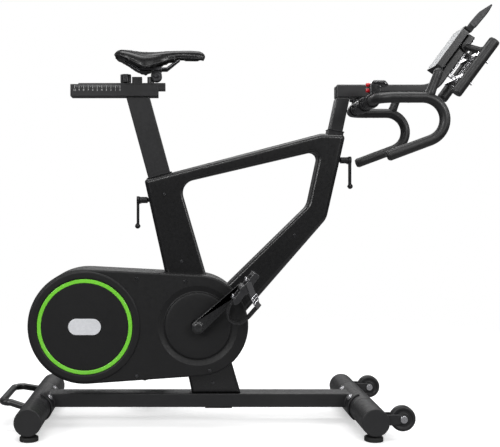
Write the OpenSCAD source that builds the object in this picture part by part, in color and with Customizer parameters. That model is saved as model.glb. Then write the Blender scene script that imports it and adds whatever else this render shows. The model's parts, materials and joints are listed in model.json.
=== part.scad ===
// Indoor exercise bike: floor base, monocoque frame, enclosed belt drive with a magnetic
// brake, sliding saddle, and a drop handlebar with a console.
// +X points forward, +Y to the rider's left, +Z up. Z = 0 is the floor under the feet.

/* [Base] */
// Length of a cross tube with its two end sleeves
cross_len = 520; // [500:5:560]
// Height of the cross tube axes above the floor
cross_z = 55; // [54:0.5:58]
// Outside diameter of the end sleeves and of the middle of a cross tube
cross_d = 76; // [74:0.5:78]
// Rear cross tube, along X
rear_x = -620; // [-640:5:-610]
// Front cross tube, along X
front_x = 326; // [320:2:340]
// Width of the beam that joins the cross tubes
beam_w = 70; // [60:2:80]
// Height of that beam
beam_h = 40; // [36:1:44]
// Transport wheel diameter
wheel_d = 70; // [66:1:71]

/* [Frame] */
// Thickness of the frame from side to side
frame_t = 70; // [68:1:74]
// Edge rounding of the frame
frame_edge = 16; // [8:1:18]
// Backward lean of the seat post, in degrees
seat_lean = 15.3; // [15:0.1:15.6]
// Forward lean of the handlebar post, in degrees
bar_lean = 12; // [11.6:0.1:12.4]

/* [Drive] */
// Crank length from the axle to the pedal spindle
crank_len = 170; // [165:2.5:175]
// Angle of the right crank above the horizontal, in degrees
crank_angle = 42; // [40:1:44]
// Belt radius on the crank pulley
drive_r = 92; // [88:1:94]
// Belt radius on the flywheel pulley
driven_r = 23; // [22:0.5:26]
// Flywheel radius
flywheel_r = 125; // [120:1:126]

/* [Housing] */
// Outline radius round the flywheel
shell_fly_r = 167; // [166:1:168]
// Outline radius round the crank
shell_crank_r = 147; // [146:1:149]

/* [Saddle] */
// Saddle length
saddle_len = 276; // [270:2:280]
// Saddle width at its widest place
saddle_w = 156; // [140:2:170]

/* [Handlebar] */
// Distance of each drop hook from the middle
hook_y = 215; // [205:1:220]
// Handlebar tube diameter
bar_d = 30; // [28:0.5:31]
// Bend radius of the drops
hook_r = 61; // [58:1:63]

/* [Hidden] */
$fn = 64;

// Colours
black = [0.10, 0.10, 0.11];
grey_black = [0.20, 0.20, 0.21];
rubber = [0.05, 0.05, 0.05];
steel = [0.72, 0.73, 0.75];
green = [0.45, 0.85, 0.20];
red = [0.80, 0.05, 0.08];
pale = [0.86, 0.87, 0.88];

// ---- Derived sizes ----
cross_r = cross_d / 2;
sleeve_in = 117;                      // |Y| where a sleeve starts
sleeve_t = 3;
core_r = cross_r - sleeve_t;          // steel tube under the sleeves
tube_wall = 2.5;
foot_y = 230;
foot_r = 26;
foot_h = 15;
stud_r = 5;
wheel_x = front_x + 81;
wheel_z = 59.5;
wheel_y = 220;
wheel_t = 24;
axle_r = 6;
beam_z = 48;                          // underside of the beam
saddle_plate_t = 5;                   // curved plate between the beam and a cross tube
bolt_y = 60;
bolt_rise = 40;                       // base bolt direction above the horizontal
bolt_r = 5;
handle_x = rear_x - 99;              // rear grab handle
handle_z = 80;
handle_r = 10;
handle_corner = 28;
handle_half = 115;

half_t = frame_t / 2;
frame_wall = 3;
crank_c = [-153, 296];                // crank axle, in X and Z
fly_c = [-482, 293];                  // flywheel axle, in X and Z
stay_in = 23;                         // flywheel stays, in |Y|
stay_out = 35;
seat_top = [-265.8, 734];               // where the seat post leaves the frame
bar_top = [258, 858];                 // where the handlebar post leaves the frame
fit = 0.3;                            // gap round each sliding post
seat_post_x = 68;
seat_post_y = 34;
bar_post_x = 38;
bar_post_y = 50;
bush_t = 3;

brg_r = 21;                           // bearing 20 x 42 x 12
brg_w = 12;
shaft_r = 10;
run = 0.05;                           // running clearance on a shaft
belt_y = [-64, -51];
belt_t = 3;
pulley_y = [-66, -49];
idler_r = 16;
idler_c = [-251, 202];

shell_y = [-86, 75];                  // flat faces of the two shells
shell_split = -2;
shell_t = 3;
crank_y = 104;                        // inner face of each crank
crank_t = 14;
spindle_len = 84;
spindle_r = 7;
pedal_gap = 8;                        // between a crank and its pedal

rail_x = [-531, -269];                // saddle rail channel
rail_z = [970, 1007];
slider_x = [-508, -248];
slider_top = 1011;
knob_x = -367;
pillar_x = -292;
tilt_c = [-275, 1033];                // saddle tilt axis, in X and Z
saddle_x = -402;                      // rear of the saddle

seat_lever_z = 662;
bar_lever_z = 781;

bar_x = 344;                          // transverse part of the handlebar
bar_z = 944;
bar_r = bar_d / 2;
corner_r = 45;
hook_x = 465;
drop_slope = 20.5;
drop_len = 127;
pod_y = 120;
console_o = [586, 1042];              // point on the console post's centre line
console_tilt = 53.6;

// ---- General helpers ----
// A flat shape drawn in X and Z, thickened from y0 to y1
module slab(y0, y1) {
    translate([0, y1, 0]) rotate([90, 0, 0]) linear_extrude(y1 - y0) children();
}

// A disc or ring round an axis along Y
module disc_y(c, r, y0, y1, bore = 0) {
    slab(y0, y1) translate(c) difference() {
        circle(r);
        if (bore > 0) circle(bore);
    }
}

// A turned part round an axis along Y, from points [radius, y]
module turned_y(c, points) {
    translate([c[0], 0, c[1]]) rotate([90, 0, 0]) rotate_extrude()
        polygon([for (p = points) [p[0], -p[1]]]);
}

// A round bar from a to b
module rod(a, b, r) {
    d = b - a;
    translate(a) rotate([0, acos(d[2] / norm(d)), atan2(d[1], d[0])])
        cylinder(r = r, h = norm(d));
}

// A round bar along a list of points, with ball joints at its corners
module wire(path, r) {
    for (i = [0:len(path) - 2]) rod(path[i], path[i + 1], r);
    for (i = [1:len(path) - 2]) translate(path[i]) sphere(r + 0.1, $fn = 32);
}

module mirror_y() {
    children();
    mirror([0, 1, 0]) children();
}

function unit(v) = v / norm(v);
function wrap(list, i) = list[(i + len(list)) % len(list)];
function xz(c) = [c[0], c[1]];

// Points of a fillet of radius r at corner q, coming from p and going to s
function fillet(p, q, s, r, steps = 6) =
    let (a = unit(p - q), b = unit(s - q), half = acos(a * b) / 2,
         c = q + unit(a + b) * r / sin(half),
         u = q + a * r / tan(half) - c, v = q + b * r / tan(half) - c,
         start = atan2(u[1], u[0]),
         turn = atan2(u[0] * v[1] - u[1] * v[0], u * v))
    [for (i = [0:steps]) c + r * [cos(start + turn * i / steps), sin(start + turn * i / steps)]];

// A closed outline through corners [x, z, radius], anticlockwise
function rounded(corners, steps = 6) =
    [for (i = [0:len(corners) - 1])
        let (p = xz(wrap(corners, i - 1)), q = xz(corners[i]), s = xz(wrap(corners, i + 1)))
        each (corners[i][2] > 0 ? fillet(p, q, s, corners[i][2], steps) : [q])];

// The same corners moved inwards by d; a negative d moves them outwards
function inset(corners, d) =
    [for (i = [0:len(corners) - 1])
        let (p = xz(wrap(corners, i - 1)), q = xz(corners[i]), s = xz(wrap(corners, i + 1)),
             e = unit(q - p), f = unit(s - q),
             m = [-e[1], e[0]], n = [-f[1], f[0]],
             convex = e[0] * f[1] - e[1] * f[0] > 0,
             r = corners[i][2], moved = q + (m + n) * d / (1 + m * n))
        [moved[0], moved[1], r == 0 ? 0 : max(1, convex ? r - d : r + d)]];

// A plate with that outline whose edges step back along a quarter circle; hole is cut out
// of it, and flares by the same rule
module soft_plate(corners, half, edge, hole = []) {
    steps = [0, 22.5, 45, 67.5];
    for (a = steps) {
        y = half - edge * (1 - cos(90 - a - 22.5));
        back = edge * (1 - cos(a));
        slab(-y, y) difference() {
            polygon(rounded(inset(corners, back)));
            if (len(hole) > 0) polygon(rounded(inset(hole, -back / 2)));
        }
    }
}

// Outline of a band round two circles, such as a belt or the housing
module band(c1, r1, c2, r2) {
    line = atan2(c2[1] - c1[1], c2[0] - c1[0]);
    lean = asin((r1 - r2) / norm(c2 - c1));
    up = [cos(line + 90 - lean), sin(line + 90 - lean)];
    down = [cos(line - 90 + lean), sin(line - 90 + lean)];
    translate(c1) circle(r1, $fn = 96);
    translate(c2) circle(r2, $fn = 96);
    polygon([c1 + r1 * up, c1 + r1 * down, c2 + r2 * down, c2 + r2 * up]);
}

module shell_outline(inward = 0) {
    band(fly_c, shell_fly_r - inward, crank_c, shell_crank_r - inward);
}

// Places its children in the axes of a post: Z along the post
module seat_axis() {
    translate([seat_top[0], 0, seat_top[1]]) rotate([0, -seat_lean, 0]) children();
}

module bar_axis() {
    translate([bar_top[0], 0, bar_top[1]]) rotate([0, bar_lean, 0]) children();
}

// Console axes: X up along the console post, Z towards the rider
module console_axis() {
    translate([console_o[0], 0, console_o[1]]) rotate([0, -console_tilt, 0]) children();
}

module block(x, y, z) {
    translate([x[0], y[0], z[0]]) cube([x[1] - x[0], y[1] - y[0], z[1] - z[0]]);
}

// A block centred on X and Y
module column(wx, wy, z0, z1) {
    translate([-wx / 2, -wy / 2, z0]) cube([wx, wy, z1 - z0]);
}

// ---- Base ----
module base_bolt_axis(x, side) {
    // side is +1 for the rear tube, whose beam lies in front of it, and -1 for the front tube
    for (y = [-bolt_y, bolt_y]) translate([x, y, cross_z])
        rotate([0, side * (90 - bolt_rise), 0]) children();
}

module beam_end(x, side) {
    intersection() {
        difference() {
            translate([x, 80, cross_z]) rotate([90, 0, 0])
                cylinder(r = cross_r + saddle_plate_t, h = 160);
            translate([x, 81, cross_z]) rotate([90, 0, 0]) cylinder(r = cross_r, h = 162);
            base_bolt_axis(x, side) cylinder(r = bolt_r + 0.2, h = 60);
        }
        block(side > 0 ? [x + 8, x + 60] : [x - 60, x - 8], [-80, 80], [20, 100]);
    }
}

module base_beam() {
    inner = 3;
    ends = [rear_x + 20, front_x - 20];
    top = beam_z + beam_h;
    color(grey_black) {
        difference() {
            block(ends, [-beam_w / 2, beam_w / 2], [beam_z, top]);
            block([ends[0] - 1, ends[1] + 1], [-beam_w / 2 + inner, beam_w / 2 - inner],
                [beam_z + inner, top - inner]);
            for (x = [rear_x, front_x]) translate([x, 100, cross_z]) rotate([90, 0, 0])
                cylinder(r = cross_r + 1, h = 200);
        }
        beam_end(rear_x, 1);
        beam_end(front_x, -1);
        block([-130, -50], [-30, 30], [beam_z - 4, beam_z + 1]);
    }
}

module cross_tube(x, side) {
    color(grey_black) difference() {
        union() {
            disc_y([x, cross_z], cross_r, -sleeve_in, sleeve_in, core_r - 1);
            disc_y([x, cross_z], core_r, -cross_len / 2 + 5, cross_len / 2 - 5,
                core_r - tube_wall);
            for (y = [-foot_y, foot_y]) intersection() {
                translate([x, y, cross_z - core_r]) cylinder(r = 11, h = 26);
                disc_y([x, cross_z], core_r, -cross_len / 2, cross_len / 2);
            }
        }
        for (y = [-foot_y, foot_y]) translate([x, y, 0]) cylinder(r = stud_r + run, h = 60);
        base_bolt_axis(x, side) cylinder(r = bolt_r + 0.2, h = 60);
    }
}

module sleeve(x) {
    difference() {
        disc_y([x, cross_z], cross_r, sleeve_in + 0.5, cross_len / 2);
        disc_y([x, cross_z], core_r, sleeve_in, cross_len / 2 - 5);
        translate([x, foot_y, 0]) cylinder(r = 12, h = cross_z);
    }
}

module wheel_fork() {
    arm_t = 4;
    gap = wheel_t / 2 + 1.5;
    for (s = [-1, 1]) {
        y = wheel_y + s * (gap + arm_t / 2);
        difference() {
            slab(y - arm_t / 2, y + arm_t / 2) difference() {
                band([front_x + cross_r - 8, cross_z + 2], 16, [wheel_x, wheel_z], 13);
                translate([front_x, cross_z]) circle(cross_r - 1);
            }
            disc_y([wheel_x, wheel_z], axle_r, y - arm_t, y + arm_t);
        }
    }
}

module cross_tube_sleeves() {
    color(grey_black) {
        mirror_y() difference() {
            sleeve(rear_x);
            rod([handle_x + 80, handle_half + 17, handle_z - 12],
                [handle_x + handle_corner, handle_half, handle_z], handle_r + 0.3);
        }
        mirror_y() {
            sleeve(front_x);
            wheel_fork();
        }
    }
}

module base_fasteners() {
    head = 4;
    color(steel) {
        for (e = [[rear_x, 1], [front_x, -1]]) base_bolt_axis(e[0], e[1]) {
            translate([0, 0, cross_r - 8]) cylinder(r = bolt_r, h = saddle_plate_t + 8.5);
            translate([0, 0, cross_r + saddle_plate_t + 0.5]) cylinder(r = 11, h = 2);
            translate([0, 0, cross_r + saddle_plate_t + 2]) cylinder(r = 8, h = head + 1);
        }
        mirror_y() {
            disc_y([wheel_x, wheel_z], axle_r, wheel_y - 18, wheel_y + 18);
            disc_y([wheel_x, wheel_z], 10, wheel_y - 21.5, wheel_y - 17.5);
            disc_y([wheel_x, wheel_z], 10, wheel_y + 17.5, wheel_y + 21.5);
        }
    }
}

module rear_handle() {
    leg_end = [handle_x + 80, handle_half + 17, handle_z - 12];
    corner_c = handle_half - handle_corner;
    leg = [handle_x + handle_corner, handle_half, handle_z];
    color(black) difference() {
        union() {
            rod([handle_x, -corner_c, handle_z], [handle_x, corner_c, handle_z], handle_r);
            mirror_y() {
                translate([handle_x + handle_corner, corner_c, handle_z])
                    rotate([0, 0, 90]) rotate_extrude(angle = 90)
                    translate([handle_corner, 0]) circle(handle_r);
                translate(leg) sphere(handle_r);
                rod(leg, leg_end, handle_r);
            }
        }
        disc_y([rear_x, cross_z], core_r, -200, 200);
    }
}

module foot(x, y) {
    color(rubber) translate([x, y, 0]) {
        cylinder(r = foot_r, h = foot_h - 4);
        translate([0, 0, foot_h - 4]) cylinder(r1 = foot_r, r2 = foot_r - 7, h = 4);
        cylinder(r = stud_r, h = 42);
    }
}

module foot_rear_right() { foot(rear_x, -foot_y); }
module foot_rear_left() { foot(rear_x, foot_y); }
module foot_front_right() { foot(front_x, -foot_y); }
module foot_front_left() { foot(front_x, foot_y); }

module rear_cross_tube() { cross_tube(rear_x, 1); }
module front_cross_tube() { cross_tube(front_x, -1); }

module transport_wheel(side) {
    r = wheel_d / 2;
    h = wheel_t / 2;
    bore = axle_r + run;
    profile = [[bore, -h], [16, -h], [17, -h + 3], [24, -h + 3], [26, -h], [r - 4, -h],
        [r, -h + 4], [r, h - 4], [r - 4, h], [26, h], [24, h - 3], [17, h - 3], [16, h],
        [bore, h]];
    color(rubber) translate([0, side * wheel_y, 0]) turned_y([wheel_x, wheel_z], profile);
}

module right_transport_wheel() { transport_wheel(-1); }
module left_transport_wheel() { transport_wheel(1); }

// ---- Frame ----
// Corners of the side view: [x, z, corner radius]
frame_outer = [
    [-169, 88, 0], [-24, 88, 0], [-73, 257, 30], [231, 606, 60],
    [288, 857, 12], [215, 860, 40], [-311, 722.5, 10],
];
frame_hole = [[-106, 369, 12], [177, 646, 50], [212, 810, 20], [-206, 712, 40]];
frame_screw_at = [[-251, 678], [-200, 480], [135, 557], [-107, 120]];

module bearing_seats(c) {
    for (s = [-1, 1]) disc_y(c, brg_r, min(s * stay_in, s * 36), max(s * stay_in, s * 36));
}

module stays() {
    for (s = [-1, 1]) {
        y0 = s > 0 ? stay_in : -stay_out;
        slab(y0, y0 + brg_w) {
            translate(fly_c) circle(31);
            translate([fly_c[0], fly_c[1] - 22]) square([292, 44]);
        }
        slab(s > 0 ? 24 : -30, s > 0 ? 30 : -24) band([-361, 272], 16, [-361, 208], 12);
    }
}

module main_frame() {
    color(black) difference() {
        union() {
            difference() {
                soft_plate(frame_outer, half_t, frame_edge, frame_hole);
                for (c = [[frame_wall, half_t - frame_edge / 2 - 1],
                    [frame_edge * 0.62 + frame_wall, half_t - frame_wall]])
                    slab(-c[1], c[1]) difference() {
                        polygon(rounded(inset(frame_outer, c[0])));
                        polygon(rounded(inset(frame_hole, -c[0])));
                    }
            }
            disc_y(crank_c, brg_r + 5, -half_t, half_t);
            stays();
        }
        disc_y(crank_c, brg_r - 3, -half_t - 1, half_t + 1);
        disc_y(fly_c, brg_r, -half_t - 1, half_t + 1);
        bearing_seats(crank_c);
        seat_axis() column(seat_post_x + 2 * (fit + bush_t), seat_post_y + 2 * (fit + bush_t),
            -30, 12);
        bar_axis() column(bar_post_x + 2 * (fit + bush_t), bar_post_y + 2 * (fit + bush_t),
            -30, 16);
        seat_lever_axis() cylinder(r = 6.2, h = 30);
        bar_lever_axis() cylinder(r = 6.2, h = 30);
        disc_y([-361, 208], 4, -40, 40);
        for (c = frame_screw_at) disc_y(c, 2.5, -half_t - 1, half_t + 1);
    }
}

module bush(wx, wy, top) {
    difference() {
        union() {
            column(wx + 2 * (fit + bush_t), wy + 2 * (fit + bush_t), -28, top);
            column(wx + 2 * (fit + bush_t) + 3, wy + 2 * (fit + bush_t) + 3, top, top + 2.5);
        }
        column(wx + 2 * fit, wy + 2 * fit, -30, top + 5);
    }
}

module post_bushes() {
    color(rubber) {
        seat_axis() bush(seat_post_x, seat_post_y, 1);
        bar_axis() bush(bar_post_x, bar_post_y, 9);
    }
}

module cover_screws() {
    housing_at = [[-118, 166], [-188, 425], [-330, 150], [-330, 432]];
    color(rubber) {
        for (s = [-1, 1]) for (c = frame_screw_at)
            turned_y(c, [[0, s * (half_t - 5)], [2.4, s * (half_t - 5)], [2.4, s * half_t],
                [5, s * half_t], [4.2, s * (half_t + 1.8)], [0, s * (half_t + 1.8)]]);
        for (c = housing_at) for (y = shell_y) {
            s = sign(y);
            turned_y(c, [[0, y - 6 * s], [2.4, y - 6 * s], [2.4, y], [5, y],
                [4.2, y + 1.8 * s], [0, y + 1.8 * s]]);
        }
    }
}

// ---- Housing ----
module screw_holes() {
    for (c = [[-118, 166], [-188, 425], [-330, 150], [-330, 432]])
        disc_y(c, 2.5, -100, 100);
}

// Space that the frame takes up where it passes through the shells
module frame_space() {
    slab(-half_t - 1, half_t + 1) polygon(rounded(inset(frame_outer, -1.2)));
}

module shell(side) {
    face = side < 0 ? -shell_y[0] : shell_y[1];
    split = side < 0 ? -shell_split : shell_split;
    // Built on +Y and mirrored for the right-hand shell
    mirror([0, side < 0 ? 1 : 0, 0]) difference() {
        union() {
            slab(split, face - 6) shell_outline();
            slab(face - 6, face - 2) shell_outline(1.5);
            slab(face - 2, face) shell_outline(5);
            turned_y(fly_c, [[139, face - 1], [139, face + 0.5], [142, face + 4],
                [158, face + 4], [162, face], [162, face - 1]]);
        }
        slab(split - 1, face - shell_t) shell_outline(shell_t);
        turned_y(crank_c, [[96, face + 1], [96, face - 1.5], [113, face - 1.5],
            [115, face + 1]]);
        disc_y(crank_c, 24, face - 5, face + 5);
        frame_space();
        screw_holes();
    }
}

module right_housing() { color(black) shell(-1); }
module left_housing() { color(black) shell(1); }

module green_ring() {
    y = shell_y[0];
    color(green) turned_y(fly_c, [[127.2, y], [138.6, y], [138.6, y - 2], [137.4, y - 3.2],
        [128.4, y - 3.2], [127.2, y - 2]]);
}

module flywheel_cover() {
    y = shell_y[0];
    color(black) turned_y(fly_c, [[0, y], [127, y], [127, y - 1.2], [121, y - 1.8],
        [0, y - 1.8]]);
}

module badge() {
    y = shell_y[0] - 1.8;
    color(pale) slab(y - 2.2, y) translate(fly_c) {
        for (x = [-24, 24]) translate([x, 0]) circle(23.5);
        square([48, 47], center = true);
    }
}

module crank_covers() {
    color(black) for (y = shell_y) {
        s = sign(y);
        turned_y(crank_c, [[20, y], [95.5, y], [95.5, y + 1.5 * s], [90, y + 3.5 * s],
            [70, y + 5 * s], [20, y + 5 * s]]);
    }
}

// ---- Drive inside the housing ----
module bearing(c, y0) {
    disc_y(c, brg_r, y0, y0 + brg_w, shaft_r + run);
}

module bearings() {
    color(steel) for (c = [crank_c, fly_c]) for (y = [-stay_out, stay_in]) bearing(c, y);
}

module flywheel_axle() {
    color(steel) {
        disc_y(fly_c, shaft_r, -72, 42);
        disc_y(fly_c, 14, -72, -66.5);
        disc_y(fly_c, 14, 35.5, 42);
    }
}

module flywheel() {
    r = flywheel_r;
    color(steel) turned_y(fly_c, [[shaft_r, -14], [30, -14], [32, -4], [r - 32, -4],
        [r - 30, -11], [r, -11], [r, 11], [r - 30, 11], [r - 32, 4], [32, 4], [30, 14],
        [shaft_r, 14]]);
}

module pulley(c, r, hub, web) {
    y = pulley_y;
    mid = (y[0] + y[1]) / 2;
    turned_y(c, [[shaft_r, y[0]], [hub, y[0]], [hub, mid - web / 2], [r - 8, mid - web / 2],
        [r - 8, y[0]], [r, y[0]], [r, y[1]], [r - 8, y[1]], [r - 8, mid + web / 2],
        [hub, mid + web / 2], [hub, y[1]], [shaft_r, y[1]]]);
}

module flywheel_pulley() {
    color(steel) disc_y(fly_c, driven_r, pulley_y[0], pulley_y[1], shaft_r);
}

module drive_pulley() {
    color(grey_black) difference() {
        pulley(crank_c, drive_r, 24, 5);
        for (a = [30:60:330]) translate([crank_c[0], 0, crank_c[1]]) rotate([0, a, 0])
            translate([54, 0, 0]) rotate([90, 0, 0]) cylinder(r = 15, h = 90);
    }
}

module drive_belt() {
    gap = 0.3;
    color(rubber) slab(belt_y[0], belt_y[1]) difference() {
        band(crank_c, drive_r + gap + belt_t, fly_c, driven_r + gap + belt_t);
        band(crank_c, drive_r + gap, fly_c, driven_r + gap);
    }
}

module idler_wheel() {
    color(rubber) disc_y(idler_c, idler_r, pulley_y[0] + 1, pulley_y[1] - 1, 5 + run);
}

module idler_arm() {
    color(steel) {
        slab(-47.5, -35.2) translate(idler_c) circle(9);
        disc_y(idler_c, 5, -68, -40);
        disc_y(idler_c, 9, -69, -66);
        slab(-40, -35.2) band(idler_c, 10, [-300, 285], 9);
    }
}

// Part of a ring round the flywheel axle, between two angles
module ring_sector(r_in, r_out, arc) {
    steps = 12;
    angles = [for (i = [0:steps]) arc[0] + (arc[1] - arc[0]) * i / steps];
    translate(fly_c) polygon(concat(
        [for (a = angles) r_out * [cos(a), sin(a)]],
        [for (i = [steps:-1:0]) r_in * [cos(angles[i]), sin(angles[i])]]));
}

module magnet_carrier() {
    arc = [-30, 32];
    arm = [[-374, 206, 8], [-360, 194, 8], [-336, 234, 2], [-362, 250, 2]];
    color(steel) difference() {
        union() {
            slab(-19, 19) ring_sector(129, 142, arc);
            slab(-19, -14) ring_sector(108, 135, arc);
            slab(14, 19) ring_sector(108, 135, arc);
            slab(-12, 12) difference() {
                polygon(rounded(arm));
                translate(fly_c) circle(133);
            }
        }
        disc_y([-361, 208], 4 + run, -40, 40);
    }
}

module brake_unit() {
    color(grey_black) {
        block([-310, -232], [-35, 35], [315.1, 319]);
        block([-306, -256], [-18, 18], [318, 366]);
        translate([-309, 0, 342]) rotate([0, 90, 0]) cylinder(r = 9, h = 10);
        translate([-322, 0, 342]) rotate([0, 90, 0]) cylinder(r = 3, h = 20);
        disc_y([-361, 208], 4, -33, 33);
    }
    color([0.1, 0.4, 0.2]) {
        slab(50, 52) translate([-345, 345]) square([80, 50]);
        for (x = [-340, -270]) for (z = [350, 390]) disc_y([x, z], 2.5, 51, 72);
        slab(45, 51) translate([-325, 360]) square([20, 16]);
        slab(41, 51) translate([-292, 352]) square([14, 30]);
    }
}

module crank_axle() {
    color(steel) disc_y(crank_c, shaft_r, -crank_y - crank_t, crank_y + crank_t);
}

// Right-hand crank at the angle a: arm, boss and pedal spindle
module crank(a, side) {
    y0 = side > 0 ? crank_y : -crank_y - crank_t;
    outer = crank_y + crank_t;
    tip = crank_c + crank_len * [cos(a), sin(a)];
    color(black) {
        difference() {
            slab(y0, y0 + crank_t) band(crank_c, 19, tip, 13);
            disc_y(crank_c, shaft_r, y0 - 1, y0 + crank_t + 1);
        }
        disc_y(crank_c, 14, side > 0 ? outer : -outer - 3, side > 0 ? outer + 3 : -outer);
    }
    color(steel) {
        disc_y(tip, 10, side > 0 ? outer : -outer - 3, side > 0 ? outer + 3 : -outer);
        disc_y(tip, spindle_r, side > 0 ? outer : -outer - spindle_len,
            side > 0 ? outer + spindle_len : -outer);
    }
}

module right_crank() { crank(crank_angle, -1); }
module left_crank() { crank(crank_angle + 180, 1); }

// ---- Pedals ----
pedal_in = crank_y + crank_t + pedal_gap;   // inner face of a pedal, in |Y|
pedal_w = 86;
right_pedal_turn = 232;               // pedals hang toe cage down
left_pedal_turn = 215;

module pedal_place(a, turn, side) {
    tip = crank_c + crank_len * [cos(a), sin(a)];
    translate([tip[0], side * (pedal_in + pedal_w / 2), tip[1]]) rotate([0, -turn, 0])
        children();
}

// Pedal in its own axes: X to the toe, Z to the sole, spindle along Y
module pedal_body(side) {
    h = pedal_w / 2;
    bore_end = spindle_len - pedal_gap - pedal_w / 2 + 3;
    color(black) difference() {
        union() {
            rotate([90, 0, 0]) translate([0, 0, -h]) cylinder(r = 13, h = pedal_w);
            for (s = [-1, 1]) translate([0, s * (h - 5), 0]) rotate([90, 0, 0])
                translate([0, 0, -5]) linear_extrude(10) polygon(rounded(
                    [[-58, -9, 6], [40, -9, 5], [52, 2, 5], [40, 9, 5], [-58, 9, 6]], 4));
            for (x = [-55, -32, 30]) translate([x, -h, -7]) cube([11, pedal_w, 14]);
        }
        translate([0, -side * (h + 1), 0]) rotate([side > 0 ? -90 : 90, 0, 0])
            cylinder(r = spindle_r + run, h = bore_end + h + 1);
    }
    // Cleat jaws on the face away from the toe cage
    color(steel) {
        translate([30, -16, -15]) cube([9, 32, 9]);
        translate([-30, -18, -15]) cube([9, 36, 9]);
    }
}

// Toe basket, and a strap over it whose legs lie on the sides of the pedal
module toe_cage_body() {
    basket = [[41, -6], [56, -6], [80, 2], [95, 16], [93, 36], [80, 53], [50, 60], [14, 62],
        [14, 58.5], [49, 56.5], [78, 49.8], [89.6, 34.8], [91.3, 17], [78.5, 5.4], [55, -2.3], [41, -2.3]];
    leg = [[-34, -7], [-14, -7], [20, 50], [20, 62], [2, 62], [-6, 50]];
    half = 33;
    side = pedal_w / 2;
    color(rubber) {
        slab(-half, half) polygon(basket);
        mirror_y() slab(side, side + 3) polygon(leg);
        block([2, 20], [-side - 3, side + 3], [59, 62]);
    }
}

module right_pedal() { pedal_place(crank_angle, right_pedal_turn, -1) pedal_body(-1); }
module left_pedal() { pedal_place(crank_angle + 180, left_pedal_turn, 1) pedal_body(1); }

module right_toe_cage() { pedal_place(crank_angle, right_pedal_turn, -1) toe_cage_body(); }
module left_toe_cage() { pedal_place(crank_angle + 180, left_pedal_turn, 1) toe_cage_body(); }

// ---- Seat ----
module seat_post() {
    in_len = 150;
    color(grey_black) {
        difference() {
            seat_axis() column(seat_post_x, seat_post_y, -in_len, 260);
            seat_axis() column(seat_post_x - 5, seat_post_y - 5, -in_len - 1, 261);
            block([-500, -100], [-60, 60], [rail_z[0] + 1, 1100]);
        }
        difference() {
            block(rail_x, [-25, 25], rail_z);
            block([rail_x[0] - 1, rail_x[1] + 1], [-21, 21], [rail_z[0] + 4, rail_z[1] - 4]);
            block([rail_x[0] - 1, rail_x[1] + 1], [-17, 17], [rail_z[1] - 5, rail_z[1] + 1]);
        }
    }
}

module seat_slider() {
    wide_top = rail_z[1] - 4 - fit;
    color(grey_black) {
        difference() {
            union() {
                block(slider_x, [-20.6, 20.6], [990, wide_top]);
                block(slider_x, [-16.6, 16.6], [990, slider_top]);
            }
            block([slider_x[0] - 1, slider_x[1] + 1], [-14, 14], [993, slider_top - 3]);
            translate([knob_x, 0, 980]) cylinder(r = 4 + run, h = 40);
        }
        block([-348, -318], [-11, 11], [slider_top - 0.5, 1030]);
    }
    color(steel) difference() {
        union() {
            translate([pillar_x, 0, slider_top - 0.5]) cylinder(r = 10.5, h = 20);
            disc_y(tilt_c, 13, -13, 13);
        }
        disc_y(tilt_c, 4 + run, -20, 20);
    }
}

module seat_knob() {
    z0 = 1014;
    color(rubber) translate([knob_x, 0, 0]) {
        difference() {
            translate([0, 0, z0]) cylinder(r = 16.5, h = 24);
            for (a = [0:45:315]) rotate([0, 0, a]) translate([19.5, 0, z0 - 1])
                cylinder(r = 5, h = 26);
        }
        translate([0, 0, 994]) cylinder(r = 4, h = 28);
    }
}

rail_y = 22;
rail_r = 3.5;
rail_low = 1053;
saddle_rail_path = [[-372, 34, 1082], [-326, rail_y, rail_low], [-244, rail_y, rail_low],
    [-206, 10, 1082]];

module saddle_clamp() {
    jaw_z = [rail_low - 5, rail_low + 5];
    color(steel) difference() {
        union() {
            for (s = [-1, 1]) disc_y(tilt_c, 16.5, s > 0 ? 13.5 : -20, s > 0 ? 20 : -13.5);
            disc_y(tilt_c, 4, -25, 25);
            for (s = [-1, 1]) disc_y(tilt_c, 7.5, s > 0 ? 20 : -25, s > 0 ? 25 : -20);
            block([-291, -259], [-28, 28], jaw_z);
            for (s = [-1, 1])
                block([-287, -263], s > 0 ? [13.5, 19] : [-19, -13.5],
                    [tilt_c[1] + 8, jaw_z[0] + 1]);
        }
        for (y = [-rail_y, rail_y]) translate([-300, y, rail_low]) rotate([0, 90, 0])
            cylinder(r = rail_r, h = 60);
    }
}

module saddle_rails() {
    color(steel) mirror_y() wire(saddle_rail_path, rail_r);
}

// Saddle sections: share of the length from the rear, half width share, top, skirt
saddle_sections = [
    [0.00, 0.46, 1098, 1088], [0.025, 0.68, 1107, 1083], [0.07, 0.86, 1112, 1079],
    [0.15, 0.99, 1111, 1068], [0.25, 1.00, 1108, 1051], [0.33, 0.90, 1106, 1041],
    [0.42, 0.66, 1106, 1050], [0.52, 0.44, 1109, 1062], [0.62, 0.33, 1111, 1073],
    [0.75, 0.28, 1112, 1077], [0.88, 0.26, 1111, 1077], [0.96, 0.23, 1107, 1077],
    [1.00, 0.15, 1096, 1078],
];

// One cross section of the saddle: a domed top, and an underside hollowed between the skirts
function saddle_ring(s) =
    let (w = s[1] * saddle_w / 2, top = s[2], skirt = s[3], h = top - skirt,
         x = saddle_x + s[0] * saddle_len)
    [for (i = [0:15]) let (a = 180 * i / 15,
        y = w * cos(a), z = skirt + h * pow(sin(a), 0.62)) [x, y, z]];

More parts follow.
